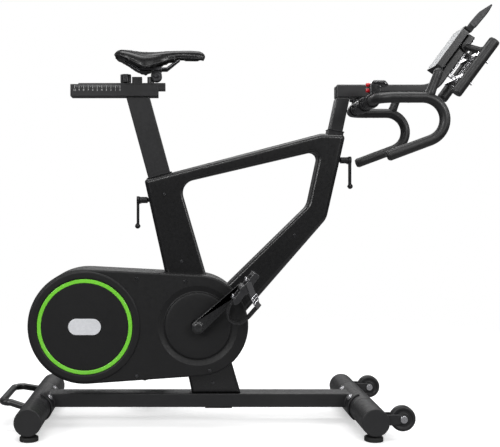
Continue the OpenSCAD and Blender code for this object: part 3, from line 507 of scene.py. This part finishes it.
def band_loop(c1, r1, c2, r2, back, y, n1=72, n2=60):
    """The outline of a belt round two circles, moved in by back."""
    line = math.degrees(math.atan2(c2[1] - c1[1], c2[0] - c1[0]))
    lean = math.degrees(math.asin((r1 - r2) / math.dist(c1, c2)))
    up, down = line + 90 - lean, line - 90 + lean
    pts = arc_points(c1, r1 - back, up, down + 360, n1) + arc_points(c2, r2 - back, down, up, n2)
    return [(x, y, z) for x, z in pts]


def housing(name, node, side, face, split):
    """One half of the drive housing, from the split plane to its outer face at |Y| = face."""
    s = Shape()
    loops = []

    def loop(back, y):
        loops.append(s.ring(band_loop(fly_c, 167, crank_c, 147, back, side * y)))

    loop(3.0, split + 0.6)
    loop(1.0, split + 0.05)
    loop(0.3, split + 0.5)
    loop(0.0, split + 1.4)
    loop(0.0, face - 6.0)
    for k in range(1, 9):
        a = math.radians(90 * k / 8)
        loop(6 * (1 - math.cos(a)), face - 6 + 6 * math.sin(a))
    inner_face = s.ring(band_loop(fly_c, 167, crank_c, 147, 3.0, side * (face - 8)))
    for a, b in zip(loops, loops[1:]):
        s.bridge(a, b)
    rings = s.lathe(crank_c, [(116.5, face), (115.6, face - 0.3), (113.5, face - 1.4), (104, face - 5.2),
                              (100, face - 5.8), (98, face - 5.0), (96.8, face - 1.2), (96, face - 0.2),
                              (95.2, face), (24, face), (24, face - 8)], 128, side)
    s.fill(loops[-1], rings[0])
    s.fill(inner_face, rings[-1])
    s.bridge(inner_face, loops[0])
    s.lathe(fly_c, [(138.9, face - 1), (139.2, face + 0.8), (140.4, face + 2.6), (142.5, face + 3.7),
                    (145, face + 4), (156, face + 4), (158.6, face + 3.6), (160.6, face + 2.2),
                    (161.8, face + 0.4), (162, face - 1)], 128, side, closed=True)
    s.make(name, "frame", "housing_plastic", [node], angle=30)


housing("right_shell", "right_housing", -1, 86, 2)
housing("left_shell", "left_housing", 1, 75, -2)

# ---------------------------------------------------------------- handlebar
bar_x, bar_z, bar_r = 344, 944, 15          # centre section, along Y
hook_x, hook_y, hook_r = 465, 215, 61       # the bend of each drop
bend_r = 45                                 # corner between the centre and the arms
drop_slope = math.radians(20.5)
drop_length = 122
drop_way = Vector((-math.cos(drop_slope), 0, -math.sin(drop_slope)))


def half_bar(sign):
    """The centre line from the end of one drop to the middle section."""
    pts = []
    y = sign * hook_y
    hook = [(x, y, z) for x, z in arc_points((hook_x, bar_z - hook_r), hook_r, -69.5, 90, 22)]
    end = Vector(hook[0]) + drop_way * drop_length
    pts += [tuple(end + (Vector(hook[0]) - end) * k / 6) for k in range(6)]
    pts += hook
    pts += [(hook_x - 20 * k, y, bar_z) for k in (1, 2, 3)]
    corner = arc_points((bar_x + bend_r, hook_y - bend_r), bend_r, 90, 180, 12)
    pts += [(x, sign * yy, bar_z) for x, yy in corner]
    return pts


right_half = half_bar(-1)
path = right_half + [(bar_x, y, bar_z) for y in range(-140, 141, 40)] + half_bar(1)[::-1]
s = Shape()
s.tube(path, bar_r, 28, dome=5)
for sign in (-1, 1):
    # Upright horn
    a, b = Vector((482.5, sign * hook_y, 948)), Vector((508, sign * hook_y, 1014))
    steps = [0, 0.08, 0.16, 0.26, 0.4, 0.6, 0.8, 1.0]
    radii = [12.8, 14.2, 13.9, 13.3, 12.9, 12.6, 12.5, 12.5]
    s.tube([a.lerp(b, k) for k in steps], radii, 28, dome=11)
    # End plug of the drop
    end = Vector(path[0] if sign < 0 else path[-1])
    s.tube([end + drop_way * 1, end + drop_way * 4.5], 12.5, 28, dome=2)
    # Thin raised edges of the wrap
    for x in (400, 425):
        s.tube([(x - 1.2, sign * hook_y, bar_z), (x + 1.2, sign * hook_y, bar_z)], bar_r + 0.5, 28, dome=0.4)
s.make("drop_bar", "handlebar", "bar_coating", ["handlebar"], angle=50)

# ---------------------------------------------------------------- shifter pods
pod_y = 120
s = Shape()
for sign in (-1, 1):
    # A body with a paddle on top, each as (half width, outline, edge radius)
    for half, corners, edge in (
            (17, [(336, 955, 6), (365, 955, 6), (371, 990, 8), (336, 998, 8)], 5),
            (20, [(338, 990, 5), (384, 986, 6), (391, 989, 3), (380, 1003, 9), (345, 1003.5, 9)], 7)):
        first = len(s.v)
        plate(s, corners, half, edge, steps=6, corner_steps=6)
        s.v[first:] = [(x, y + sign * pod_y, z) for x, y, z in s.v[first:]]
    # Its clamp ring, and two raised bands further in
    s.lathe((bar_x, bar_z), [(15.1, 107.4), (19, 107.4), (20.6, 109), (20.8, 112), (20.8, 128),
                             (20.6, 131), (19, 132.6), (15.1, 132.6)], 56, sign, closed=True)
    for y in (62, 86):
        s.lathe((bar_x, bar_z), [(15.05, y - 7), (17.2, y - 6.6), (18, y - 5), (18, y + 5), (17.2, y + 6.6),
                                 (15.05, y + 7)], 56, sign, closed=True)
s.make("pod_shells", "handlebar", "black_plastic", ["shifter_pods"], angle=45, material=clamp_gloss)

# ---------------------------------------------------------------- stem and console post
stem_corners = [(261, 966, 3), (362, 966, 3), (366, 982, 3), (559, 982, 70), (676, 1144.6, 3),
                (655.5, 1157.4, 3), (543.9, 1006, 60), (261, 1006, 6)]
s = Shape()
plate(s, stem_corners, 23, 5, steps=6, corner_steps=8)
s.make("stem_shell", "handlebar", "post_paint", ["stem"], angle=40)

# ---------------------------------------------------------------- console axes
console = Matrix.Translation((586, 0, 1042)) @ Matrix.Rotation(math.radians(-53.6), 4, "Y")


def at_console(points):
    return [tuple(console @ Vector(p)) for p in points]


def smooth_path(points, r, n=6):
    """A polyline with its corners rounded to radius r."""
    points = [Vector(p) for p in points]
    out = [points[0]]
    for p, q, t in zip(points, points[1:], points[2:]):
        a, b = (p - q).normalized(), (t - q).normalized()
        half = math.acos(max(-1, min(1, a.dot(b)))) / 2
        cut = r / math.tan(half)
        u, w = q + a * cut, q + b * cut
        for i in range(n + 1):
            k = i / n
            out.append(u.lerp(q, k).lerp(q.lerp(w, k), k))
    out.append(points[-1])
    return out


rack_y, rack_r, rack_z = 70, 17, -53        # the two capped tubes, in the console's own axes
rack_top = rack_z + rack_r
spring_z = rack_top - 9
s = Shape()
for sgn in (-1, 1):
    y = sgn * rack_y
    s.tube(at_console([(-47, y, rack_z), (-44, y, rack_z)]), 15.2, 32)
    s.tube(at_console([(x, y, rack_z) for x in (-46.5, -44, -40, 0, 50, 100, 138, 142, 145.5)]),
           [15.8, 16.8, 17, 17, 17, 17, 17, 16.8, 15.4], 32, dome=0.5)
    s.tube(at_console([(95, sgn * 31.2, -4), (96.5, sgn * 38, -13), (99, sgn * 50, -28), (103, y, rack_z)]),
           [9.9, 10, 10, 10], 24)
    s.tube(at_console([(95, sgn * 23.2, -2), (95, sgn * 30.4, -2)]), 13, 32, dome=0.6)
    s.tube(at_console([(101, sgn * 58, -40), (102, sgn * 62, -45)]), 12, 28, dome=1.0)
s.tube(at_console([(-12, 0, spring_z), (89, 0, spring_z)]), 4.9, 24, dome=0.5)
s.make("rack_tubes", "handlebar", "bar_coating", ["rack_frame"], angle=40)

s = Shape()
for x in (3, 82):
    # Cross bar with its bolts and the spring rod's eye
    bar = [(x - 7, -78), (x + 7, -78), (x + 7, 78), (x - 7, 78)]
    a, b = [s.ring(at_console([(u, v, z) for u, v in bar])) for z in (rack_top, rack_top + 3)]
    s.bridge(a, b)
    s.cap(a)
    s.cap(b)
    for y in (-rack_y, rack_y):
        s.tube(at_console([(x, y, rack_z - rack_r - 6), (x, y, rack_top + 1)]), 3, 16, dome=1)
        s.tube(at_console([(x, y, rack_z - rack_r - 6), (x, y, rack_z - rack_r - 0.4)]), 5, 6)
    s.tube(at_console([(x - 5, 0, spring_z), (x + 5, 0, spring_z)]), 6, 20, dome=1)
s.tube(at_console([(-14, 0, spring_z), (91, 0, spring_z)]), 3, 20, dome=1)
turns, n, coil_r, coil_length = 7, 16, 6.2, 29.0
for x0 in (13, 44):
    coil = [(x0 + coil_length * i / (turns * n), coil_r * math.cos(2 * math.pi * i / n),
             spring_z + coil_r * math.sin(2 * math.pi * i / n)) for i in range(turns * n + 1)]
    s.tube(at_console(coil), 1.35, 10)
for y in (-15, 15):
    wire = smooth_path([(96, y, -15.5), (6, y, -15.5), (6, y, rack_top + 1.5)], 7)
    s.tube(at_console(wire), 2.2, 16, dome=1)
# The pointed clip behind the console
blade = [(128, -13.2), (150, -15.2), (166, -18.2), (167, -19.4), (150, -18.4), (128, -16)]
a = s.ring(at_console([(x, -6, z) for x, z in blade]))
b = s.ring(at_console([(x, 6, z) for x, z in blade]))
s.bridge(a, b)
s.cap(a)
s.cap(b)
s.make("rack_fittings", "handlebar", "chrome_wire", ["rack_wires"], angle=40, bevel=0.0)

# ---------------------------------------------------------------- toe cages and straps
crank_a, crank_length, pedal_y = math.radians(42), 170, 169.0
tip = (crank_length * math.cos(crank_a), crank_length * math.sin(crank_a))


def pedal_matrix(side):
    """Places a pedal's own axes: toe along X, cage towards Z."""
    turn = 232 if side < 0 else 215
    m = Matrix.Translation((crank_c[0] - side * tip[0], side * pedal_y, crank_c[1] - side * tip[1]))
    return m @ Matrix.Rotation(math.radians(-turn), 4, "Y")


def toe_cage(name, node, body, side):
    """The basket, strap, buckle and cleat jaws of one pedal."""
    m = pedal_matrix(side)
    s = Shape()

    def put(points):
        return [tuple(m @ Vector(p)) for p in points]

    # Basket: four bent bars and cross ribs
    line = smooth_path([(43, 0, -4), (56, 0, -4), (80, 0, 4), (93, 0, 17), (91, 0, 35.5), (79, 0, 51.5),
                        (50, 0, 58.3), (16, 0, 60.3)], 9, 6)
    for y in (-31, -10.5, 10.5, 31):
        s.tube(put([(p.x, y + p.y, p.z) for p in line]), 2.0, 12, flat=(3.6, 4.6 if abs(y) > 20 else 9))
    ribs = [(p, 1.8) for p in line[2:-1:7]] + [(line[0], 2.0), (line[-1], 2.0)]
    for p, r in ribs:
        s.tube(put([(p.x, -31, p.z), (p.x, 31, p.z)]), r, 10)
    s.make(name, body, "cage_plastic", [node], angle=40)
    # Strap: up one side, over the top, down the other
    s = Shape()
    strap = smooth_path([(-24, -44.6, -6), (9, -44.6, 50), (11, -44.6, 60.6), (11, 44.6, 60.6),
                         (9, 44.6, 50), (-24, 44.6, -6)], 7, 6)
    rings = []
    for i, p in enumerate(strap):
        t = (strap[min(i + 1, len(strap) - 1)] - strap[max(i - 1, 0)]).normalized()
        across = (Vector((1, 0, 0)) - t * t.x)
        across = across.normalized() if abs(t.x) < 0.8 else Vector((0.85, 0, -0.5))
        out = t.cross(across).normalized()
        corners = ((8, 1.1), (-8, 1.1), (-8, -1.1), (8, -1.1))
        rings.append(s.ring(put([p + across * u + out * v for u, v in corners])))
    for a, b in zip(rings, rings[1:]):
        s.bridge(a, b)
    s.cap(rings[0])
    s.cap(rings[-1])
    s.make(name + "_strap", body, "cage_plastic", angle=40, material=strap_grey)
    # Steel buckle on the outer leg, and the cleat jaws on the far face
    s = Shape()
    y = side * 46.2
    for z in (30, 44):
        x = -3 + (z - 30) * 0.59
        s.tube(put([(x - 10, y, z), (x + 10, y, z)]), 1.7, 12, dome=1)
    for d in (-10, 10):
        s.tube(put([(-3 + d, y, 30), (5.3 + d, y, 44)]), 1.7, 12, dome=1)
    s.tube(put([(1 - 10, y, 37), (1 + 10, y, 37)]), 1.2, 12, dome=1)
    for x, reach in ((34.5, 16.5), (-25.5, 18.5)):
        bow = smooth_path([(x, -reach, -8), (x - 4, -reach, -15.2), (x - 4, reach, -15.2), (x, reach, -8)], 5)
        s.tube(put(bow), 2.6, 12, dome=1)
        s.tube(put([(x, -reach, -10.5), (x, reach, -10.5)]), 3.8, 16, dome=1)
    s.make(name + "_hardware", body, "bright_steel", angle=40)


toe_cage("right_cage", "right_toe_cage", "pedal_right", -1)
toe_cage("left_cage", "left_toe_cage", "pedal_left", 1)

# Domed caps over the crank bolts
s = Shape()
for sign in (-1, 1):
    rings = s.lathe(crank_c, [(14.6, 117.5), (14.6, 120.2), (13.8, 121.6), (12, 122.8), (9, 123.8),
                              (5, 124.3), (1.5, 124.5)], 48, sign)
    s.cap(rings[0])
    s.cap(rings[-1])
s.make("hub_caps", "crankset", "crank_paint", angle=60)

# ---------------------------------------------------------------- saddle
saddle_x, saddle_length, saddle_half = -402, 276, 78
groove_depth = 4.0
# Share of the length, share of the half width, height of the top, height of the skirt
sections = [
    (0.00, 0.46, 1098, 1088), (0.025, 0.68, 1107, 1083), (0.07, 0.86, 1112, 1079),
    (0.15, 0.99, 1111, 1068), (0.25, 1.00, 1108, 1051), (0.33, 0.90, 1106, 1041),
    (0.42, 0.66, 1106, 1050), (0.52, 0.44, 1109, 1062), (0.62, 0.33, 1111, 1073),
    (0.75, 0.28, 1112, 1077), (0.88, 0.26, 1111, 1077), (0.96, 0.23, 1107, 1077),
    (1.00, 0.15, 1096, 1078),
]


def section_at(u):
    """Smooth values of the section table at the share u of the length."""
    k = max(i for i in range(len(sections) - 1) if sections[i][0] <= u or i == 0)
    p0, p1 = sections[max(k - 1, 0)], sections[k]
    p2, p3 = sections[k + 1], sections[min(k + 2, len(sections) - 1)]
    t = (u - p1[0]) / (p2[0] - p1[0])
    out = []
    for j in (1, 2, 3):
        m1 = (p2[j] - p0[j]) / max(1e-6, p2[0] - p0[0]) * (p2[0] - p1[0])
        m2 = (p3[j] - p1[j]) / max(1e-6, p3[0] - p1[0]) * (p2[0] - p1[0])
        h = (2 * t**3 - 3 * t**2 + 1) * p1[j] + (t**3 - 2 * t**2 + t) * m1
        out.append(h + (-2 * t**3 + 3 * t**2) * p2[j] + (t**3 - t**2) * m2)
    return out


def saddle_point(u, a, shrink=0.0):
    """A point of the saddle's cover: u along the length, a from 0 to 180 over the top."""
    w, top, skirt = section_at(u)
    w = w * saddle_half - shrink
    h = (top - skirt) - shrink
    ca, sa = math.cos(math.radians(a)), math.sin(math.radians(a))
    z = skirt + h * abs(sa) ** 0.62
    groove = math.exp(-((ca / 0.16) ** 2)) * groove_depth * max(0.0, math.sin(math.pi * min(1, u / 0.86)))
    return (saddle_x + shrink + u * (saddle_length - 2 * shrink), w * ca, z - groove)


def saddle_mesh(shrink):
    s = Shape()
    n, m = 44, 32
    rings = []
    for i in range(n + 1):
        u = (1 - math.cos(math.pi * i / n)) / 2
        top = [saddle_point(u, 180 * k / m, shrink) for k in range(m + 1)]
        w, high, low = section_at(u)
        under = [(top[0][0], (w * saddle_half - shrink) * f, low + (high - low) * g)
                 for f, g in ((-0.86, 0.10), (-0.6, 0.34), (0, 0.42), (0.6, 0.34), (0.86, 0.10))]
        rings.append(s.ring(top + under))
    for a, b in zip(rings, rings[1:]):
        s.bridge(a, b)
    s.cap(rings[0])
    s.cap(rings[-1])
    return s


def puff(o, cap, frames=20, pressure=4.0):
    """Blows the cover up a little with Blender's cloth, and applies the result."""
    rest = [v.co.copy() for v in o.data.vertices]
    group = o.vertex_groups.new(name="pin")
    low = [v.index for v in o.data.vertices if v.normal.z < -0.25]
    group.add(low, 1.0, "REPLACE")
    c = o.modifiers.new("Cloth", "CLOTH")
    c.settings.quality = 6
    c.settings.mass = 0.25
    c.settings.tension_stiffness = 18
    c.settings.compression_stiffness = 18
    c.settings.shear_stiffness = 8
    c.settings.bending_stiffness = 1.5
    c.settings.use_pressure = True
    c.settings.uniform_pressure_force = pressure
    c.settings.vertex_group_mass = "pin"
    c.settings.effector_weights.gravity = 0.0
    c.point_cache.frame_start = 1
    c.point_cache.frame_end = frames
    for f in range(1, frames + 1):
        scene.frame_set(f)
    dg = bpy.context.evaluated_depsgraph_get()
    final = [v.co.copy() for v in o.evaluated_get(dg).data.vertices]
    o.modifiers.remove(c)
    scene.frame_set(1)
    for v, a, b in zip(o.data.vertices, rest, final):
        d = b - a
        if d.length > cap:
            d = d * (cap / d.length)
        v.co = a + d
    o.vertex_groups.clear()


s = saddle_mesh(1.2)
me = bpy.data.meshes.new("saddle_cover")
me.from_pydata([Vector(v) * MM for v in s.v], [], s.f)
saddle = bpy.data.objects.new("saddle_cover", me)
scene.collection.objects.link(saddle)
bm = bmesh.new()
bm.from_mesh(me)
bmesh.ops.recalc_face_normals(bm, faces=bm.faces)
bm.to_mesh(me)
bm.free()
r = saddle.modifiers.new("remesh", "REMESH")
r.mode = "VOXEL"
r.voxel_size = 0.0045
dg = bpy.context.evaluated_depsgraph_get()
new = bpy.data.meshes.new_from_object(saddle.evaluated_get(dg))
saddle.modifiers.clear()
saddle.data = new
puff(saddle, 0.0035)
sm = saddle.modifiers.new("relax", "SMOOTH")
sm.factor = 0.5
sm.iterations = 6
sub = saddle.modifiers.new("round", "SUBSURF")
sub.levels = sub.render_levels = 1
dg = bpy.context.evaluated_depsgraph_get()
new = bpy.data.meshes.new_from_object(saddle.evaluated_get(dg))
saddle.modifiers.clear()
saddle.data = new
cover = BVHTree.FromPolygons([v.co for v in new.vertices], [list(p.vertices) for p in new.polygons])
settle(saddle, "saddle", "saddle_cover", ["saddle"], angle=80)


def on_cover(p, lift):
    """The nearest point of the cover to p, in millimetres, lifted off it."""
    found, normal, _, _ = cover.find_nearest(Vector(p) * MM)
    return (found + normal * lift * MM) / MM


# Sewn seams along the wings and across the rear of the saddle
s = Shape()
for a in (34, 146):
    line = [on_cover(saddle_point(u / 60, a), 0.1) for u in range(3, 58)]
    s.tube(line, 0.9, 8)
line = [on_cover(saddle_point(0.17 + 0.05 * abs(math.cos(math.radians(a))), a), 0.05)
        for a in range(34, 147, 4)]
s.tube(line, 0.7, 8)
s.make("saddle_seams", "saddle", "saddle_cover", angle=60)
# A welt round the lower edge of the cover
s = Shape()
edge_line = [on_cover(saddle_point(u / 60, 4), 0.4) for u in range(1, 60)]
edge_line += [on_cover(saddle_point(u / 60, 176), 0.4) for u in range(59, 0, -1)]
s.tube(edge_line, 1.5, 8, closed=True)
s.make("saddle_edge", "saddle", "black_plastic", angle=60)

# ---------------------------------------------------------------- seat rail scale
rail_face = -25.05
scale_start, scale_length = -518, 135.0
ink = Shape()
for i in range(41):
    x = scale_start + scale_length * i / 40
    tall = 8.5 if i % 4 == 0 else 6.0 if i % 2 == 0 else 3.5
    wide = 0.55 if i % 4 == 0 else 0.3
    ink.box((x - wide, rail_face - 0.1, 1003 - tall), (x + wide, rail_face + 0.05, 1003))
ink.make("scale_ticks", "seat_post", "badge_plate", material=white_ink)
for i in range(11):
    x = scale_start + scale_length * i / 10
    text = bpy.data.curves.new("scale_number_%d" % i, "FONT")
    text.body = str(10 - i)
    text.size = 0.0085
    text.align_x = "CENTER"
    text.extrude = 0.00005
    t = bpy.data.objects.new("scale_number_%d" % i, text)
    scene.collection.objects.link(t)
    t.matrix_world = Matrix.Translation((x * MM, (rail_face - 0.02) * MM, 0.9865)) \
        @ Matrix.Rotation(math.radians(90), 4, "X")
    bpy.context.view_layer.update()
    flat = bpy.data.meshes.new_from_object(t.evaluated_get(bpy.context.evaluated_depsgraph_get()))
    flat.transform(t.matrix_world)
    n = bpy.data.objects.new("scale_digit_%d" % i, flat)
    bpy.data.objects.remove(t)
    scene.collection.objects.link(n)
    settle(n, "seat_post", "badge_plate", material=white_ink)

# ---------------------------------------------------------------- everything else
bevels = {
    "base_beam": 2.0, "rear_cross_tube": 0.8, "front_cross_tube": 0.8, "cross_tube_sleeves": 2.0,
    "base_fasteners": 0.7, "rear_handle": 0.0, "post_bushes": 1.2, "green_ring": 0.4,
    "flywheel_cover": 0.4, "badge": 0.8, "crank_covers": 0.8, "cover_screws": 0.3,
    "flywheel_axle": 0.6, "bearings": 0.4, "drive_belt": 0.4, "brake_unit": 0.8, "idler_arm": 0.6,
    "idler_wheel": 0.6, "magnet_carrier": 0.6, "flywheel": 1.0, "flywheel_pulley": 0.5,
    "crank_axle": 0.8, "drive_pulley": 0.8, "right_crank": 2.2, "left_crank": 2.2,
    "right_pedal": 1.0, "left_pedal": 1.0, "foot_rear_right": 1.2, "foot_rear_left": 1.2,
    "foot_front_right": 1.2, "foot_front_left": 1.2, "right_transport_wheel": 1.0,
    "left_transport_wheel": 1.0, "seat_post": 2.0, "seat_slider": 1.0, "seat_knob": 1.2,
    "saddle_clamp": 0.8, "saddle_rails": 0.0, "seat_clamp_lever": 1.5, "bar_clamp_lever": 1.5,
    "bar_post": 2.0, "bar_clamp": 1.5, "right_shift_up": 0.8,
    "right_shift_down": 0.8, "left_shift_up": 0.8, "left_shift_down": 0.8, "console_case": 1.5,
    "console_screen": 0.6, "tablet_holder": 1.0,
}
special = {"tablet_holder": tablet_matt, "bar_clamp": clamp_gloss, "saddle_rails": M["dark_steel"]}
for node_name, width in bevels.items():
    soften(node_name, width, material=special.get(node_name))

# ---------------------------------------------------------------- floor, light, camera
bpy.ops.mesh.primitive_circle_add(vertices=96, radius=9, fill_type="NGON", location=(0, 0, 0))
floor = bpy.context.object
floor.name = "floor"
m, t, b = new_material("floor_paper")
out = [n for n in t.nodes if n.type == "OUTPUT_MATERIAL"][0]
where = t.nodes.new("ShaderNodeTexCoord").outputs["Object"]
tone = mix_colour(t, noise_node(t, where, 2.0), (0.90, 0.90, 0.905), (0.93, 0.93, 0.93))
# The floor looks white, and throws back less light than white paper would
ray = t.nodes.new("ShaderNodeLightPath").outputs["Is Camera Ray"]
t.links.new(mix_colour(t, ray, (0.28, 0.28, 0.285), tone), b.inputs["Base Color"])
t.links.new(math_node(t, "MULTIPLY", ray, 0.42), b.inputs["Emission Strength"])
b.inputs["Roughness"].default_value = 0.75
b.inputs["Specular IOR Level"].default_value = 0.2
b.inputs["Emission Color"].default_value = (1, 1, 1, 1)
length = t.nodes.new("ShaderNodeVectorMath")
length.operation = "LENGTH"
t.links.new(where, length.inputs[0])
fade = t.nodes.new("ShaderNodeMapRange")
fade.interpolation_type = "SMOOTHSTEP"
for k, v in (("From Min", 1.0), ("From Max", 2.6), ("To Min", 0.0), ("To Max", 1.0)):
    fade.inputs[k].default_value = v
t.links.new(length.outputs["Value"], fade.inputs["Value"])
clear = t.nodes.new("ShaderNodeBsdfTransparent")
blend = t.nodes.new("ShaderNodeMixShader")
t.links.new(fade.outputs["Result"], blend.inputs[0])
t.links.new(b.outputs[0], blend.inputs[1])
t.links.new(clear.outputs[0], blend.inputs[2])
t.links.new(blend.outputs[0], out.inputs[0])
floor.data.materials.append(m)

scene.view_settings.view_transform = "Standard"
world = bpy.data.worlds.new("studio")
scene.world = world
world.use_nodes = True
t = world.node_tree
t.nodes.clear()
out = t.nodes.new("ShaderNodeOutputWorld")
seen = add(t, "ShaderNodeBackground", Color=(1, 1, 1, 1), Strength=1.0)
felt = add(t, "ShaderNodeBackground", Strength=0.40)
direction = t.nodes.new("ShaderNodeTexCoord").outputs["Generated"]
split = t.nodes.new("ShaderNodeSeparateXYZ")
t.links.new(direction, split.inputs[0])
tone = mix_colour(t, remap(t, split.outputs["Z"], -0.1, 0.9, 0.0, 1.0), (0.12, 0.12, 0.125), (1, 1, 1))
t.links.new(tone, felt.inputs["Color"])
path_node = t.nodes.new("ShaderNodeLightPath")
mix = t.nodes.new("ShaderNodeMixShader")
t.links.new(path_node.outputs["Is Camera Ray"], mix.inputs[0])
t.links.new(felt.outputs[0], mix.inputs[1])
t.links.new(seen.outputs[0], mix.inputs[2])
t.links.new(mix.outputs[0], out.inputs[0])


def softbox(name, place, target, size, power):
    light = bpy.data.lights.new(name, "AREA")
    light.shape = "RECTANGLE"
    light.size, light.size_y = size
    light.energy = power
    o = bpy.data.objects.new(name, light)
    scene.collection.objects.link(o)
    o.location = place
    o.rotation_euler = (Vector(target) - Vector(place)).to_track_quat("-Z", "Y").to_euler()


softbox("top_box", (0, 0.2, 3.6), (0, 0, 0.4), (3.0, 1.6), 62)
softbox("left_box", (-3.4, -1.2, 1.9), (0, 0, 0.6), (0.7, 2.2), 13)
softbox("right_box", (3.4, -1.0, 1.9), (0.1, 0, 0.6), (0.7, 2.2), 15)
softbox("back_box", (0.2, 3.2, 2.2), (0, 0, 0.6), (3.0, 1.0), 26)
softbox("front_left", (-2.6, -3.8, 2.2), (0, 0, 0.5), (1.2, 1.2), 60)
softbox("front_right", (2.8, -3.8, 2.2), (0, 0, 0.5), (1.2, 1.2), 60)
softbox("front_strip", (-0.1, -3.0, 3.0), (0, 0, 0.5), (3.4, 0.20), 30)

cam_data = bpy.data.cameras.new("camera")
cam = bpy.data.objects.new("camera", cam_data)
scene.collection.objects.link(cam)
cam.location = (-0.218, -2.7, 0.644)
cam.rotation_euler = (math.radians(90), 0, 0)
cam_data.sensor_width = 36
cam_data.lens = 64.8
cam_data.shift_x = 0.149
cam_data.shift_y = -0.035
scene.camera = cam
